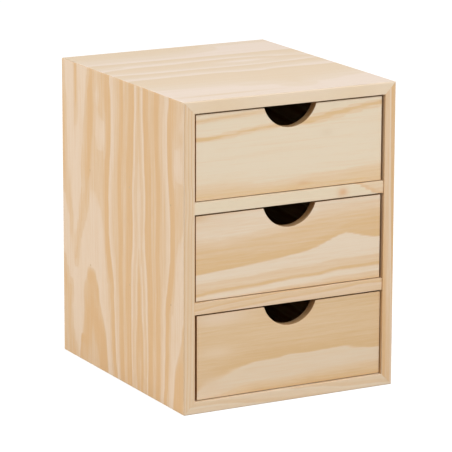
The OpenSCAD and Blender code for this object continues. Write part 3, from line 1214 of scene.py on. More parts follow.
def left_side_figure() -> Figure:
    """The left side: two tall arches either side of a straight heart line.

    The stations go up the board. Each lists the rings outwards from the heart line, which
    stands 29 mm in front of the board's middle.

    Returns:
        The figure.
    """

    def bands(
        first: float, fades: float, honey: float, second: float, pale: float, third: float
    ) -> tuple[tuple[float, float], ...]:
        """The rings just past the heart, by places in mm from the heart line.

        Args:
            first: Where the first dark band starts, crisply.
            fades: Where that band starts to fade.
            honey: Where it has faded to honey.
            second: The middle of the second dark band, which is soft on both sides.
            pale: Where the honey wood beyond it has faded to pale.
            third: Where the third dark band starts.

        Returns:
            The rings.
        """
        inner = ((first - 1, 2.0), (first + 0.3, 2.12), (fades + 0.8, 2.24), (honey + 0.5, 2.42))
        middle = ((second - 4.2, 2.42), (second - 2.6, 2.3), (second - 1.2, 2.14), (second + 1.6, 2.17))
        beyond = ((second + 3.4, 2.31), (second + 4.6, 2.38), (pale - 2.5, 2.83), (pale, 2.87))
        return (*inner, *middle, *beyond, (third - 3, 2.92), (third - 1.3, 3.0), (third, 3.12))

    stations = (
        Station(4, (
            (0, 1.42), (1.4, 1.31), (3, 1.15), (4.4, 1.25), (5.5, 1.5), (6.7, 1.87),
            (8.8, 1.42), (11.3, 1.83),
            *bands(13.8, 18.7, 22, 28.2, 35.5, 39),
            (42.3, 3.25), (44, 3.6), (46, 3.85), (50, 3.9), (52.3, 3.97), (53.5, 4.03),
            (55, 4.12), (66.5, 4.2), (69.5, 4.42), (80, 4.45), (90, 4.36), (98.5, 4.3),
            (102, 4.05), (103.5, 3.84), (106, 3.8), (108.5, 3.5), (111.5, 3.33), (118.5, 3.33),
            (122.5, 3.5), (125.5, 3.42), (128, 3.34),
        )),
        Station(13, (
            (0, 1.4), (2.2, 1.3), (4.2, 1.18), (5.5, 1.31), (6.5, 1.6), (7.6, 1.84), (9, 1.8),
            (11, 1.84),
            *bands(14, 18.7, 22, 28.7, 36.8, 40.8),
            (44, 3.25), (46, 3.6), (47.7, 3.86), (52, 3.9), (53.5, 3.97), (54.8, 4.03),
            (56.3, 4.12), (67.5, 4.2), (71, 4.4), (76.5, 4.6), (80.5, 4.45), (84, 4.36),
            (90, 4.27), (96.5, 4.33), (98.8, 4.3), (100.3, 4.0), (101.8, 3.88), (108.5, 3.87),
            (110, 3.82), (111.5, 3.5), (113.5, 3.33), (118, 3.34), (122, 3.42), (128, 3.4),
        )),
        Station(22, (
            (0, 1.42), (1.5, 1.4), (4.2, 1.22), (5.8, 1.4), (7.3, 1.85), (9.9, 1.5),
            (12.2, 1.87),
            *bands(14.6, 18.8, 22, 29, 37.8, 41.5),
            (45, 3.25), (46.7, 3.5), (48.5, 3.84), (52, 3.88), (54.3, 3.96), (55.8, 4.02),
            (57.5, 4.12), (69.5, 4.2), (73.7, 4.31), (76, 4.37), (79, 4.45), (81.5, 4.36),
            (84, 4.25), (86.5, 4.15), (89.5, 4.08), (93, 4.04), (95.3, 4.02), (97, 3.98),
            (98.8, 3.94), (104, 3.92), (111, 3.91), (112.6, 3.84), (114, 3.5), (116, 3.37),
            (122, 3.36), (126, 3.42), (128, 3.45),
        )),
        Station(40, (
            (0, 1.31), (3.3, 1.15), (5.5, 1.4), (7.3, 1.9), (9.7, 1.6), (12.3, 1.9),
            *bands(14.8, 19.3, 22.7, 29.5, 38.3, 42.6),
            (46, 3.25), (48, 3.5), (50.5, 3.87), (57, 3.91), (59.3, 3.96), (61, 4.0),
            (63.5, 4.03), (69, 4.04), (71.5, 4.12), (87, 4.15), (89.5, 4.05), (92, 4.03),
            (94, 3.99), (96.5, 3.94), (112.5, 3.92), (114.5, 3.83), (115.7, 3.5), (118, 3.36),
            (124, 3.38), (128, 3.42),
        )),
        Station(48, (
            (0, 1.3), (1.5, 1.25), (2.8, 1.14), (4.2, 1.3), (5, 1.5), (6.5, 1.9), (9.2, 1.48),
            (11.5, 1.88),
            *bands(14.6, 19.7, 23, 29.2, 38.7, 42.5),
            (46, 3.28), (48, 3.5), (50.5, 3.86), (58, 3.9), (62, 3.93), (63.8, 3.98),
            (65.5, 4.02), (73.5, 4.04), (75.5, 4.1), (81, 4.12), (86, 4.05), (91.5, 4.03),
            (93.5, 4.0), (95.5, 3.95), (98, 3.92), (110, 3.92), (112.5, 3.84), (113.8, 3.5),
            (115.5, 3.37), (128, 3.36),
        )),
        Station(55, (
            (0, 1.12), (2.7, 1.15), (3.7, 1.5), (5.2, 1.92), (6.3, 1.9), (8.6, 1.45),
            (10.7, 1.88), (12, 1.93),
            *bands(14.8, 20.2, 24, 29.8, 39.5, 43),
            (46, 3.28), (48.5, 3.5), (51.5, 3.84), (60, 3.88), (64.5, 3.93), (66.5, 3.98),
            (68, 4.02), (70, 4.06), (75, 4.03), (79, 4.1), (82, 4.05), (90, 4.02), (93.5, 4.0),
            (95.5, 3.95), (98, 3.92), (109.5, 3.92), (112, 3.84), (113.2, 3.5), (115, 3.37),
            (122, 3.36), (125, 3.3), (128, 3.33),
        )),
        Station(62, (
            (0, 1.12), (2.3, 1.2), (3.3, 1.5), (5, 1.91), (6, 1.9), (8.4, 1.45), (10.3, 1.88),
            (11.8, 1.93),
            *bands(14.3, 20, 23.5, 29.6, 39.3, 43.5),
            (47, 3.27), (49.5, 3.5), (52, 3.86), (64.5, 3.92), (67, 3.97), (68.5, 4.02),
            (71, 4.1), (74, 4.06), (79, 4.06), (82, 4.04), (91, 4.0), (93.5, 3.97), (96, 3.93),
            (114, 3.92), (118, 3.85), (120.5, 3.5), (123, 3.37), (125.5, 3.31), (128, 3.36),
        )),
        Station(70, (
            (0, 1.12), (2.2, 1.25), (3.5, 1.5), (5, 1.91), (6.2, 1.9), (8.2, 1.45), (10, 1.87),
            (11.6, 1.93),
            *bands(14.6, 20, 23.5, 30, 39.5, 43.2),
            (47, 3.3), (50, 3.5), (52.5, 3.87), (68.5, 3.93), (71, 3.98), (73, 4.03),
            (75.5, 4.1), (79, 4.12), (83, 4.1), (86, 4.04), (88.5, 3.98), (91, 3.93),
            (110, 3.93), (119.5, 3.91), (122.7, 3.85), (124.7, 3.5), (127, 3.36), (128, 3.38),
        )),
        Station(79, (
            (0, 1.12), (2.2, 1.25), (3.3, 1.5), (4.9, 1.92), (6, 1.9), (8, 1.42), (9.7, 1.86),
            (11, 1.93),
            *bands(14.4, 19.8, 23, 30.4, 40, 44.5),
            (49, 3.2), (51.3, 3.35), (53.5, 3.6), (55.5, 3.88), (70, 3.93), (98, 3.94),
            (101, 3.87), (103.5, 3.6), (105, 3.38), (107, 3.3), (108.5, 3.4), (110.5, 3.85),
            (113, 3.92), (124, 3.92), (128, 3.9),
        )),
        Station(87, (
            (0, 1.22), (1.6, 1.36), (3, 1.72), (4.3, 1.91), (5.5, 1.8), (7.3, 1.44), (9, 1.84),
            (10.6, 1.93),
            *bands(13.9, 19.4, 22.8, 30.2, 41.2, 46.4),
            (51, 3.2), (53.2, 3.36), (55.2, 3.72), (57.3, 3.89), (80, 3.93), (97.3, 3.94),
            (99.5, 3.87), (101.8, 3.55), (103.7, 3.37), (105.7, 3.36), (107.5, 3.55),
            (109.5, 3.83), (112.5, 3.87), (116, 3.9), (128, 3.91),
        )),
        Station(95, (
            (0, 1.31), (1.5, 1.45), (3.5, 1.91), (4.6, 1.91), (6.7, 1.45), (8.5, 1.82),
            (10.2, 1.93),
            *bands(13.3, 19, 22.5, 30, 42.5, 48.3),
            (53, 3.2), (55, 3.36), (56.8, 3.8), (59, 3.9), (96, 3.93), (98, 3.86), (100, 3.5),
            (102, 3.36), (104, 3.45), (106.5, 3.8), (111, 3.82), (114.5, 3.82), (118, 3.9),
            (128, 3.92),
        )),
        Station(102, (
            (0, 1.58), (2.2, 1.84), (4, 1.82), (5.6, 1.5), (7.3, 1.85), (9.1, 1.92),
            *bands(12.3, 18.8, 22.4, 29.5, 44.1, 49.8),
            (53.8, 3.19), (55.8, 3.38), (57.9, 3.83), (60.5, 3.9), (91.3, 3.92), (94.4, 3.84),
            (97, 3.5), (99.4, 3.37), (101.8, 3.5), (104, 3.83), (107, 3.88), (110, 3.87),
            (112.3, 3.76), (114, 3.74), (117, 3.86), (128, 3.92),
        )),
        Station(110, (
            (0, 1.87), (3, 1.85), (4.5, 1.7), (6.3, 1.88), (8, 1.91),
            *bands(11.3, 18.5, 22.3, 29, 45.7, 51.3),
            (54.5, 3.18), (56.7, 3.4), (59, 3.86), (62, 3.9), (86, 3.92), (90.5, 3.83),
            (93.5, 3.5), (96.5, 3.38), (99.3, 3.55), (101.5, 3.84), (104, 3.91), (108, 3.91),
            (110.5, 3.84), (112.5, 3.6), (114, 3.6), (117, 3.83), (121, 3.9), (128, 3.92),
        )),
        Station(117, (
            (0, 1.87), (2.5, 1.85), (4.5, 1.55), (6.2, 1.82), (7.9, 1.91),
            *bands(11, 18.3, 21.9, 29.5, 45.7, 51.2),
            (54.8, 3.19), (57.1, 3.38), (59.5, 3.8), (62.5, 3.88), (82.5, 3.93), (86.8, 3.85),
            (89.8, 3.5), (93, 3.37), (97.6, 3.45), (99.7, 3.7), (101.5, 3.87), (104, 3.91),
            (108.5, 3.91), (112, 3.85), (114.5, 3.62), (116.8, 3.52), (119, 3.7), (122.5, 3.88),
            (128, 3.92),
        )),
        Station(125, (
            (0, 1.87), (2, 1.84), (4.5, 1.46), (6, 1.75), (7.7, 1.91),
            *bands(10.6, 18, 21.5, 30, 45.7, 51),
            (55, 3.2), (57.5, 3.35), (60, 3.7), (63, 3.85), (68, 3.9), (79, 3.94), (83, 3.86),
            (86, 3.6), (89, 3.36), (94, 3.36), (97, 3.55), (100, 3.86), (102, 3.91),
            (109, 3.92), (113, 3.86), (116, 3.8), (119.5, 3.42), (122, 3.6), (125, 3.88),
            (128, 3.92),
        )),
        Station(131, (
            (0, 1.86), (2.2, 1.86), (4.7, 1.47), (6.5, 1.8), (8.2, 1.91),
            *bands(11, 18, 21.4, 30.4, 45.8, 51.2),
            (55, 3.2), (57.5, 3.34), (60.2, 3.57), (63.5, 3.74), (69, 3.86), (79, 3.89),
            (82.5, 3.82), (85.3, 3.5), (88.3, 3.35), (92.5, 3.38), (95.5, 3.65), (98, 3.86),
            (101, 3.91), (110, 3.9), (115, 3.84), (118.5, 3.74), (121.5, 3.42), (124.2, 3.42),
            (126.5, 3.6), (128, 3.68),
        )),
        Station(137, (
            (0, 1.84), (2.5, 1.88), (5, 1.48), (7, 1.86), (8.7, 1.91),
            *bands(11.4, 18, 21.3, 30.8, 46, 51.3),
            (55, 3.2), (57.5, 3.33), (60.5, 3.45), (64, 3.6), (70, 3.8), (79, 3.83), (82, 3.78),
            (84.5, 3.42), (87.5, 3.34), (91, 3.45), (94, 3.8), (96.5, 3.88), (104, 3.93),
            (112, 3.88), (116, 3.83), (120.5, 3.76), (123.5, 3.4), (126, 3.34), (128, 3.38),
        )),
        Station(150, (
            (0, 1.83), (2.5, 1.9), (4.8, 1.46), (6.5, 1.6), (8.5, 1.91),
            *bands(12, 17.7, 21, 31.2, 45.5, 50.5),
            (55, 3.2), (57.5, 3.32), (60, 3.42), (64, 3.5), (78, 3.48), (81, 3.33), (84, 3.2),
            (87.5, 3.29), (91, 3.36), (94, 3.5), (96.5, 3.8), (99, 3.88), (108, 3.93),
            (115.5, 3.91), (118.5, 3.85), (120.5, 3.8), (123, 3.45), (126, 3.26), (128, 3.25),
        )),
        Station(164, (
            (0, 1.89), (1.5, 1.86), (4, 1.46), (6, 1.84), (7.3, 1.9),
            *bands(10.9, 18.3, 21, 30.8, 43.5, 49),
            (53, 3.16), (56, 3.32), (59, 3.45), (68, 3.5), (77, 3.45), (80, 3.3), (83.5, 3.2),
            (86, 3.32), (91, 3.36), (93.3, 3.6), (95.5, 3.88), (108, 3.92), (116, 3.9),
            (120, 3.83), (122, 3.5), (125, 3.33), (126.5, 3.28), (128, 3.28),
        )),
        Station(171, (
            (0, 1.89), (1.5, 1.86), (3.8, 1.46), (6, 1.87), (7, 1.9),
            *bands(10, 18, 21, 30, 42, 48),
            (51.5, 3.16), (54, 3.4), (57, 3.8), (60, 3.84), (63.5, 3.88), (67, 3.86), (70, 3.8),
            (74, 3.55), (78, 3.4), (80, 3.25), (83.5, 3.18), (86, 3.32), (90, 3.4), (92.5, 3.8),
            (95, 3.91), (110, 3.92), (117, 3.91), (120.5, 3.82), (123, 3.5), (126, 3.3),
            (128, 3.28),
        )),
        Station(181, (
            (0, 1.92), (3.5, 1.48), (6.3, 1.9),
            *bands(9.6, 16.5, 19.5, 28.6, 41.5, 47),
            (51, 3.18), (53, 3.36), (55, 3.83), (57.5, 3.89), (60, 3.91), (67, 3.91),
            (70, 3.87), (72.5, 3.8), (75, 3.45), (77.5, 3.28), (80, 3.14), (83.5, 3.18),
            (86.5, 3.31), (90, 3.5), (92.5, 3.84), (95, 3.91), (101, 3.91), (105, 3.86),
            (110.5, 3.87), (113.5, 3.93), (118, 3.93), (120.5, 3.86), (122, 3.8), (124, 3.4),
            (126.5, 3.27), (128, 3.3),
        )),
        Station(193, (
            (0, 1.86), (2.8, 1.45), (5.5, 1.9),
            *bands(9.3, 15.5, 18.7, 28, 41, 46.5),
            (51, 3.2), (53.3, 3.4), (55.5, 3.8), (58, 3.87), (67, 3.88), (70, 3.84),
            (72.5, 3.6), (75, 3.38), (78, 3.16), (82, 3.16), (85, 3.3), (88, 3.42), (90, 3.8),
            (92, 3.91), (98, 3.93), (101.5, 3.84), (103.5, 3.55), (106, 3.5), (108.5, 3.86),
            (111.5, 3.94), (118, 3.93), (120.5, 3.86), (123, 3.6), (126, 3.31), (128, 3.3),
        )),
        Station(201, (
            (0, 1.46), (2.5, 1.5), (4.7, 1.9),
            *bands(8.6, 14.5, 17.8, 27.5, 41, 46.5),
            (50, 3.15), (52.5, 3.28), (56, 3.4), (60, 3.6), (66, 3.8), (70, 3.82), (72.5, 3.5),
            (75, 3.33), (77, 3.2), (80.5, 3.14), (84, 3.29), (87, 3.4), (89, 3.8), (91, 3.9),
            (94, 3.94), (99, 3.93), (101.3, 3.83), (103, 3.4), (105, 3.31), (107, 3.5),
            (109, 3.86), (112, 3.94), (117, 3.94), (120.5, 3.87), (122.5, 3.7), (125, 3.4),
            (128, 3.3),
        )),
        Station(212, (
            (0, 1.3), (2, 1.5), (4.2, 1.91),
            *bands(7.7, 13.5, 17.5, 27.5, 41, 46.8),
            (51, 3.15), (54, 3.28), (58, 3.36), (62, 3.5), (64.5, 3.84), (67, 3.87), (71, 3.86),
            (73.5, 3.6), (76, 3.31), (79, 3.14), (83, 3.18), (85, 3.32), (87.5, 3.8), (90, 3.9),
            (98, 3.9), (101.5, 3.83), (103.3, 3.4), (105, 3.25), (107, 3.4), (109, 3.86),
            (112, 3.94), (121, 3.94), (124, 3.8), (128, 3.4),
        )),
        Station(225, (
            (0, 1.29), (2, 1.48), (4.2, 1.9),
            *bands(7.9, 13.5, 17.5, 28, 42.5, 49),
            (52, 3.22), (56, 3.31), (62, 3.42), (66, 3.75), (69, 3.8), (72.5, 3.42), (75, 3.31),
            (80, 3.31), (83, 3.5), (85, 3.83), (87, 3.91), (91, 3.95), (101, 3.91), (103, 3.5),
            (104.2, 3.2), (105.2, 3.12), (106.3, 3.25), (107.5, 3.5), (109, 3.87),
            (111.5, 3.94), (121.5, 3.94), (124, 3.83), (128, 3.45),
        )),
    )
    return Figure(
        Axis.Z,
        Axis.Y,
        Axis.X,
        -87.5,
        stations,
        heart=-29.2,
        sway=-1.5,
        tilt=0.38,
        wander=0.25,
        wander_length=30.0,
    )


def right_side_figure() -> Figure:
    """The right side: one broad, low arch, with its rings closing up towards the front.

    Returns:
        The figure.
    """

    def across(front: float, arch: float) -> tuple[tuple[float, float], ...]:
        """The rings from the front to the back.

        Args:
            front: The ring number at the front edge.
            arch: How many ring numbers the arch adds at its crown.

        Returns:
            The rings.
        """
        near = ((-100, front), (-85, front + 1), (-71, front + 2), (-55, front + 3), (-35, front + 4))
        far = ((20, front + 5.1 + arch), (46, front + 4.4), (78, front + 2.9), (100, front + 1.6))
        return (*near, (-8, front + 4.8 + arch), *far)

    stations = (
        Station(0, across(1.03, 1.1)),
        Station(70, across(1.12, 0.78)),
        Station(105, across(1.26, 0.5)),
        Station(145, across(1.4, 0.3)),
        Station(230, across(1.5, 0)),
    )
    return Figure(Axis.Z, Axis.Y, Axis.X, 87.5, stations, tilt=-0.12, wander=1.2)


def top_figure() -> Figure:
    """The top: wide, faint bands from side to side, with one long lens behind the middle.

    Returns:
        The figure.
    """

    def across(*pale: tuple[float, float]) -> tuple[tuple[float, float], ...]:
        """The rings for a row of pale bands.

        Args:
            *pale: Where each pale band starts and ends, in mm from the back edge.

        Returns:
            The rings, from the front to the back.
        """
        rings = [(100.0, 0.15)]
        for ring, (start, end) in enumerate(pale):
            soft = 6.0 if ring in (0, len(pale) - 1) else 1.5
            rings += [(100.0 - start + soft, ring + 0.42), (100.0 - start - soft + 0.5, ring + 0.88)]
            rings += [(100.0 - end + 0.8, ring + 0.97), (100.0 - end - 1.2, ring + 1.12)]
        return tuple(reversed(rings[:-1]))

    stations = (
        Station(-88, across((34, 45), (63, 71), (83, 89), (104, 112), (150, 203))),
        Station(-62, across((33, 46), (58, 67), (85, 92), (104, 112), (152, 203))),
        Station(-25, across((34, 46), (58, 66), (86, 92), (103, 111), (154, 203))),
        Station(2, across((31, 47), (57, 64), (87, 93), (106, 114), (164, 203))),
        Station(24, across((24, 47), (57, 63), (88, 93), (108, 116), (180, 203))),
        Station(38, across((9, 47), (58, 64), (88, 93), (106, 113), (167, 203))),
        Station(65, across((7, 47), (62, 69), (85, 91), (104, 114), (160, 203))),
        Station(88, across((7, 47), (69, 74), (83, 88), (104, 114), (155, 203))),
    )
    return Figure(Axis.X, Axis.Y, Axis.Z, 230.0, stations, tilt=-0.02, wander=1.0, wander_length=45.0)


def upper_front_figure() -> Figure:
    """The upper front: nearly plain, two thin lines that slant up to the right and a dark foot.

    Returns:
        The figure.
    """

    def across(
        foot: float, line: float, second: float, tone: float, wide: float = 1.0, blur: float = 2.0
    ) -> tuple[tuple[float, float], ...]:
        """The rings for the tops of the foot and of the two lines, in mm.

        Args:
            foot: Height of the dark foot's top.
            line: Height of the lower line.
            second: Height of the upper line.
            tone: The lower line's ring number.
            wide: How wide the lower line is, against its left part.
            blur: How far the foot's top fades.

        Returns:
            The rings.
        """
        below = ((156, 0.3), (foot - 5, 0.31), (foot - 2, 0.36), (foot, 0.45))
        fade = ((foot + blur, 0.84), (foot + 3 * blur, 0.89))
        start = ((line - 1.5 - 2 * wide, 0.92), (line - 1.7 * wide, 0.6), (line - 0.7 * wide, tone))
        first = (*start, (line + 0.5 * wide, tone), (line + 0.6 + wide, 0.8), (line + 3.2, 0.92))
        upper = ((second - 2, 0.92), (second - 0.8, 0.38), (second + 0.5, 0.31), (second + 1.6, 0.8))
        return (*below, *fade, (foot + 15, 0.92), *first, *upper, (second + 2.6, 0.93), (230, 0.93))

    stations = (
        Station(-77, across(166, 201.8, 214, 0.12)),
        Station(-67, across(166.4, 201.4, 214.8, 0.14)),
        Station(-57, across(166, 202.2, 215.6, 0.27)),
        Station(-42, across(165.5, 204, 216, 0.28)),
        Station(-29, across(163.7, 205.2, 216.7, 0.26)),
        Station(-12, across(163, 206.3, 218, 0.25)),
        Station(2, across(165, 207, 220.5, 0.2, 1.3, 1.6)),
        Station(17, across(166, 207.8, 223.5, 0.13, 1.8, 1.2)),
        Station(32, across(167, 209.8, 226, 0.15, 1.8, 1.0)),
        Station(47, across(167.3, 211.9, 226, 0.17, 1.5, 0.9)),
        Station(62, across(168.5, 214, 226, 0.17, 1.3, 0.9)),
        Station(77, across(169.5, 215.5, 226, 0.13, 1.2, 0.9)),
    )
    return Figure(Axis.X, Axis.Z, Axis.Y, -97.5, stations, tilt=0.1, wander=0.3, wander_length=26.0)


def middle_front_figure() -> Figure:
    """The middle front: a broad honey band whose lower edge climbs to a crest on the right.

    Returns:
        The figure.
    """

    def across(
        line: float, edge: float, dark: float, band: float, top: float
    ) -> tuple[tuple[float, float], ...]:
        """The rings from the board's foot to its top, by heights in mm.

        Args:
            line: Height of the thin line below the band.
            edge: Height of the band's crisp lower edge.
            dark: How far up from that edge the band is darkest.
            band: Height of the band's soft upper edge.
            top: The ring number at the board's top.

        Returns:
            The rings.
        """
        below = ((line - 9, 0.3), (line - 6.5, 0.45), (line - 4.5, 0.86), (line - 2, 0.94))
        dark_line = ((line - 0.3, 1.0), (line + 0.8, 1.1), (line + 2.2, 1.3), (line + 3.2, 1.45))
        above = ((line + 6.5, 1.5), (line + 8.5, 1.84), (line + 10, 1.9), (edge - 1.2, 1.94))
        crisp = ((edge, 2.0), (edge + 1.2, 2.12), (edge + dark, 2.22), (edge + dark + 2.5, 2.31))
        soft = ((band - 3, 2.32), (band, 2.45), (band + 3, 2.8), (band + 7, 2.87))
        return (*below, *dark_line, *above, *crisp, *soft, (147.5, top))

    stations = (
        Station(-77, across(86.5, 102.5, 11, 124.5, 2.84)),
        Station(-67, across(87.6, 103.2, 10, 124, 2.85)),
        Station(-57, across(88, 103.7, 10, 123, 2.86)),
        Station(-42, across(88.3, 105, 8, 124, 2.9)),
        Station(-27, across(88.8, 106.2, 5.5, 126, 2.92)),
        Station(-12, across(90.2, 107.3, 5, 127.5, 2.92)),
        Station(2, across(91.2, 109, 4, 131, 2.92)),
        Station(13, across(91.2, 110.4, 4, 132.3, 2.92)),
        Station(20, across(91.2, 111.9, 4, 133.8, 2.92)),
        Station(27, across(91.4, 113.8, 4, 135.3, 2.93)),
        Station(32, across(92.2, 115.9, 3.5, 135.7, 2.93)),
        Station(37, across(92.8, 118, 3, 136, 2.93)),
        Station(42, across(93, 119.7, 3.5, 136.5, 2.93)),
        Station(48, across(93, 120.7, 5, 137, 2.92)),
        Station(53, across(93, 119.7, 7, 137.3, 2.92)),
        Station(58, across(93, 118.2, 9, 137.5, 2.91)),
        Station(65, across(93.1, 116.2, 12, 137.8, 2.91)),
        Station(73, across(93.3, 114.7, 14, 138, 2.92)),
    )
    return Figure(Axis.X, Axis.Z, Axis.Y, -97.5, stations, tilt=0.1, wander=0.4, wander_length=26.0)


def lower_front_figure() -> Figure:
    """The lower front: tan above a wavy edge, paler below it, and a dark foot.

    Returns:
        The figure.
    """

    def across(foot: float, edge: float, top: float, blur: float = 1.0) -> tuple[tuple[float, float], ...]:
        """The rings for the heights of the foot, the wavy edge and the board's top.

        Args:
            foot: Height of the foot's top.
            edge: Height of the wavy edge.
            top: The ring number at the board's top.
            blur: How softly the wavy edge fades, against its right part.

        Returns:
            The rings.
        """
        below = ((foot - 7, 0.15), (foot - 3, 0.31), (foot, 0.42), (foot + 2, 0.8), (foot + 4, 0.87))
        fade = ((edge - 1.2 * blur, 0.92), (edge, 1.0), (edge + 1.3 * blur, 1.12))
        above = (*fade, (edge + 6, 1.22), (edge + 11, 1.3))
        return (*below, *above, (58, 1.32), (66, 0.5 * (1.32 + top)), (74, top))

    stations = (
        Station(-77, across(3, 14, 1.35, 2.6)),
        Station(-74, across(4, 16.5, 1.4, 2.8)),
        Station(-71, across(5, 19, 1.45, 3.0)),
        Station(-67, across(6, 21.5, 1.5, 3.2)),
        Station(-57, across(8, 24.2, 1.5, 3.4)),
        Station(-50, across(10, 26.5, 1.46, 3.0)),
        Station(-42, across(12, 28.9, 1.42, 2.2)),
        Station(-35, across(13.4, 30.8, 1.38, 1.6)),
        Station(-27, across(14.5, 32.3, 1.35, 1.2)),
        Station(-12, across(14, 32.6, 1.3)),
        Station(2, across(14.5, 34, 1.25)),
        Station(17, across(16, 33.5, 1.25)),
        Station(32, across(16.5, 33.7, 1.3)),
        Station(47, across(17, 34.5, 1.3)),
        Station(62, across(17.5, 31.5, 1.3)),
        Station(73, across(17, 30.3, 1.28)),
    )
    return Figure(Axis.X, Axis.Z, Axis.Y, -97.5, stations, tilt=0.1, wander=0.5, wander_length=24.0)


def upper_divider_figure() -> Figure:
    """The upper divider: plain, with its one ring edge near the right end.

    Returns:
        The figure.
    """

    def across(edge: float) -> tuple[tuple[float, float], ...]:
        """The rings up the divider's front.

        Args:
            edge: Height of the ring edge, in mm.

        Returns:
            The rings.
        """
        return ((100, 0.9), (edge - 1, 0.94), (edge, 1.02), (edge + 1.5, 1.25), (edge + 5, 1.4), (190, 1.45))

    stations = (
        Station(40, across(172)),
        Station(50, across(161)),
        Station(54, across(158)),
        Station(58, across(155.7)),
        Station(62, across(153.5)),
        Station(67, across(150.8)),
        Station(72, across(148)),
        Station(82, across(142)),
    )
    return Figure(Axis.X, Axis.Z, Axis.Y, -99.0, stations, tilt=0.03, wander=0.3, wander_length=20.0)


def lower_divider_figure() -> Figure:
    """The lower divider: low, wavy lines that climb to the right.

    Returns:
        The figure.
    """

    def across(line: float) -> tuple[tuple[float, float], ...]:
        """The rings up the divider's front.

        Args:
            line: Height of the lower dark line, in mm.

        Returns:
            The rings.
        """
        below = ((line - 6, -0.8), (line - 4.5, -0.3), (line - 2.2, -0.14), (line - 1, -0.05))
        above = ((line, 0.12), (line + 1, 0.32), (line + 2.4, 0.6), (line + 3.4, 0.85))
        return (*below, *above, (line + 4.5, 1.15), (line + 6, 1.4))

    stations = (
        Station(-75, across(72.5)),
        Station(-48, across(75.3)),
        Station(-32, across(76)),
        Station(-17, across(77)),
        Station(-2, across(78)),
        Station(28, across(78.5)),
        Station(43, across(79.5)),
        Station(58, across(80.8)),
        Station(76, across(80.5)),
    )
    return Figure(Axis.X, Axis.Z, Axis.Y, -99.0, stations, tilt=0.05, wander=0.35, wander_length=20.0)


def box_pine(level: Level, grain: Axis) -> PlanedPine:
    """The thin pine of a drawer's sides or back.

    Args:
        level: Which drawer.
        grain: The axis that the grain runs along.

    Returns:
        The finish.
    """
    low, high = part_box(level.value + "_back")
    middle_mm = 1000 * (low.z + high.z) / 2
    depth = Axis.X if grain is Axis.Y else Axis.Y
    heart, span, width = middle_mm + 12, (-100.0, 100.0), 60.0
    figure = plain_sawn(grain, Axis.Z, depth, 0.0, heart, span, width, ring_width=9.0)
    title = f"{level.value.replace('_', ' ')} box, grain along {grain.name}"
    return PlanedPine(title, figure, "#e6cfae", "#dfc299", "#cfa877", seed=2.0 + middle_mm / 10)


CASE_PINE = {
    Side.LEFT: PlanedPine(
        "left side",
        left_side_figure(),
        *SIDE_TONES,
        patches=(Patch(115, -100.8, 400, 1.5, "#e8d3b6", 0.42),),
        seed=1.7,
    ),
    Side.TOP: PlanedPine(
        "top",
        top_figure(),
        "#efddcd",
        "#e8d4bc",
        "#e5cdae",
        patches=(
            Patch(28, 24.5, 22, 4.5, "#f0dfd1", 0.9),
            Patch(-50, -84.5, 42, 2.6, "#e4cdb0", 0.85),
            Patch(-58, 24, 22, 5, "#e8cfb2", 0.7),
            Patch(0, -100.8, 400, 1.5, "#e9d3b4", 0.95),
            Patch(-58, -100.8, 26, 1.5, "#e4c8a2", 0.6),
            Patch(52, -100.8, 18, 1.5, "#e6cda9", 0.5),
        ),
        streakiness=0.7,
        seed=5.2,
    ),
    Side.RIGHT: PlanedPine("right side", right_side_figure(), *SIDE_TONES, seed=8.1),
    Side.BOTTOM: PlanedPine(
        "bottom",
        plain_sawn(Axis.X, Axis.Y, Axis.Z, 0.0, -22.0, (-88.0, 88.0), 124.0),
        "#e8d4ba",
        "#e6ceb0",
        "#e3c7a4",
        seed=4.4,
    ),
}
DIVIDER_PINE = {
    "upper_divider": PlanedPine(
        "upper divider",
        upper_divider_figure(),
        "#e9d8bc",
        "#e7ceae",
        "#e3bf95",
        patches=(Patch(44, 151.5, 4.2, 3.2, "#e0b184", 0.85),),
        seed=6.3,
    ),
    "lower_divider": PlanedPine(
        "lower divider", lower_divider_figure(), "#e7ccb0", "#e4c6a1", "#e0bd91", seed=9.4
    ),
}
DRAWERS = (
    Drawer(
        Level.UPPER,
        PlanedPine(
            "upper front",
            upper_front_figure(),
            "#ead9bf",
            "#e8cdab",
            "#e2c090",
            patches=(
                Patch(31, 197, 5, 3, "#e2cdb0", 0.5),
                Patch(12, 161.5, 6, 1.6, "#dcae7c", 0.5),
            ),
            streakiness=0.8,
            seed=2.9,
            edge_shade=EDGE_SHADE,
        ),
    ),
    Drawer(
        Level.MIDDLE,
        PlanedPine(
            "middle front",
            middle_front_figure(),
            "#ebd8c0",
            "#e6c9a6",
            "#e0bc8c",
            patches=(Patch(-76, 144, 12, 3, "#e2c19a", 0.8),),
            streakiness=0.8,
            seed=7.7,
            edge_shade=EDGE_SHADE,
        ),
    ),
    Drawer(
        Level.LOWER,
        PlanedPine(
            "lower front",
            lower_front_figure(),
            "#e6d1b6",
            "#e4c7a2",
            "#dcb98a",
            patches=(
                Patch(-57, 69, 21, 4.8, "#e9d0b4", 0.9),
                Patch(-60, 43.5, 16, 4.2, "#e7cdad", 0.8),
                Patch(-65, 20, 12, 8.0, "#e4c9a9", 0.65),
            ),
            streakiness=0.8,
            seed=3.6,
            edge_shade=EDGE_SHADE,
        ),
    ),
)


# ---------------------------------------------------------------- the studio


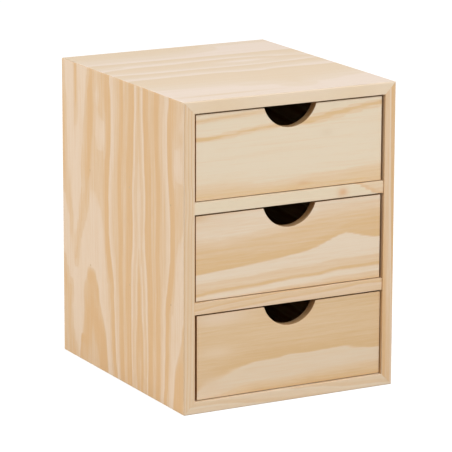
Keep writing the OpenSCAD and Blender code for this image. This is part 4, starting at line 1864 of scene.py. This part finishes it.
@dataclass
class Studio:
    """A pale floor, soft light from all round and a long lens.

    Attributes:
        azimuth: The camera's place round the object, in degrees. 0 looks along +Y.
        elevation: Its height above the horizon, in degrees.
        roll: Its turn about its own axis, in degrees.
        distance: Its distance from the aim point.
        aim_right: The aim point's place to the right of the origin, in the picture's plane.
        aim_up: The aim point's height above the origin, in the picture's plane.
        lens: Focal length, in mm on a 36 mm wide sensor.
        daylight: Strength of the light from all round.
        lamp_distance: How far the lamps stand from the place that they face.
        lamp_aim: Height of that place.
        floor_size: Half the floor's side.
        floor_glow: Brightness of the glow that only the camera sees on the floor.
        glow_share: How far that glow takes the place of the lit paper, from 0 to 1.
    """

    azimuth: float = -28.45
    elevation: float = 13.5
    roll: float = 0.17
    distance: float = 2.313
    aim_right: float = 0.0007
    aim_up: float = 0.1069
    lens: float = 241.8
    daylight: float = 0.32
    lamp_distance: float = 3.0
    lamp_aim: float = 0.1
    floor_size: float = 9.0
    floor_glow: float = 1.62
    glow_share: float = 0.55

    def build(self) -> None:
        """Builds the floor, world, lamps and camera."""
        self._camera()
        self._floor()
        self._world()
        self._lamp("front_softbox", azimuth=14.0, elevation=36.0, size=1.2, power=47.5)
        self._lamp("side_softbox", azimuth=-114.0, elevation=16.0, size=1.2, power=51.0)
        self._lamp("overhead_softbox", azimuth=20.0, elevation=80.0, size=1.4, power=18.0)

    @staticmethod
    def _away(azimuth: float, elevation: float) -> Vector:
        """Gives the direction from the object towards a viewer or a lamp.

        Args:
            azimuth: Its place round the object, in degrees.
            elevation: Its height above the horizon, in degrees.

        Returns:
            The direction, of length 1.
        """
        around, above = math.radians(azimuth), math.radians(elevation)
        level = math.cos(above)
        return Vector((math.sin(around) * level, -math.cos(around) * level, math.sin(above)))

    def _camera(self) -> None:
        """Adds the camera at the photograph's viewing angle."""
        around = math.radians(self.azimuth)
        right = Vector((math.cos(around), math.sin(around), 0))
        back = self._away(self.azimuth, self.elevation)
        up = back.cross(right)
        aim = right * self.aim_right + up * self.aim_up
        turn = Matrix((right, up, back)).transposed() @ Matrix.Rotation(math.radians(self.roll), 3, "Z")
        camera = bpy.data.objects.new("camera", bpy.data.cameras.new("camera"))
        camera.data.lens = self.lens
        camera.data.sensor_width = 36.0
        camera.data.clip_end = 50.0
        camera.matrix_world = Matrix.Translation(aim + back * self.distance) @ turn.to_4x4()
        bpy.context.scene.collection.objects.link(camera)
        bpy.context.scene.camera = camera

    def _floor(self) -> None:
        """Adds a white paper floor, which shows the camera its own colour and a soft shadow."""
        bm = bmesh.new()
        bmesh.ops.create_grid(bm, x_segments=1, y_segments=1, size=self.floor_size)
        mesh = bpy.data.meshes.new("floor")
        bm.to_mesh(mesh)
        bm.free()
        floor = bpy.data.objects.new("floor", mesh)
        bpy.context.scene.collection.objects.link(floor)
        paper = bpy.data.materials.new("matt white paper")
        paper.use_nodes = True
        tree = paper.node_tree
        tree.nodes.clear()
        seen = add_node(tree, "LightPath").outputs["Is Camera Ray"]
        seen = add_node(tree, "Math", {"operation": "MULTIPLY"}, seen, self.glow_share)
        sheet = add_node(tree, "BsdfDiffuse", None, linear("#c9c8c6"))
        glow = add_node(tree, "Emission", None, (1.0, 1.0, 1.0, 1.0), self.floor_glow)
        mixed = add_node(tree, "MixShader", None, seen, sheet, glow)
        add_node(tree, "OutputMaterial", None, mixed)
        mesh.materials.append(paper)

    def _world(self) -> None:
        """Adds even light from all round, and white where the camera sees past the floor."""
        world = bpy.data.worlds.new("white studio")
        world.use_nodes = True
        tree = world.node_tree
        tree.nodes.clear()
        path = add_node(tree, "LightPath").outputs
        straight = path["Is Camera Ray"]
        for kind in ("Is Glossy Ray", "Is Transmission Ray"):
            straight = add_node(tree, "Math", {"operation": "MAXIMUM"}, straight, path[kind])
        strength = add_node(tree, "MapRange", None, straight, 0.0, 1.0, self.daylight, 1.0)
        light = add_node(tree, "Background", None, (1.0, 1.0, 1.0, 1.0), strength)
        add_node(tree, "OutputWorld", None, light)
        bpy.context.scene.world = world

    def _lamp(self, name: str, azimuth: float, elevation: float, size: float, power: float) -> None:
        """Adds a square lamp that faces the object.

        Args:
            name: The lamp's name.
            azimuth: Its place round the object, in degrees, as for the camera.
            elevation: Its height above the horizon, in degrees.
            size: Its side.
            power: Its power, in watts.
        """
        light = bpy.data.lights.new(name, "AREA")
        light.size = size
        light.energy = power
        lamp = bpy.data.objects.new(name, light)
        away = self._away(azimuth, elevation)
        lamp.location = self.lamp_distance * away + Vector((0, 0, self.lamp_aim))
        lamp.rotation_euler = away.to_track_quat("Z", "Y").to_euler()
        bpy.context.scene.collection.objects.link(lamp)


def main() -> None:
    """Builds the studio, the case and the drawers."""
    logging.basicConfig(level=logging.INFO, format="%(message)s")
    Studio().build()
    Case().build()
    for drawer in DRAWERS:
        drawer.build()
    bpy.context.scene.view_settings.view_transform = "Standard"


if __name__ == "__main__":
    main()
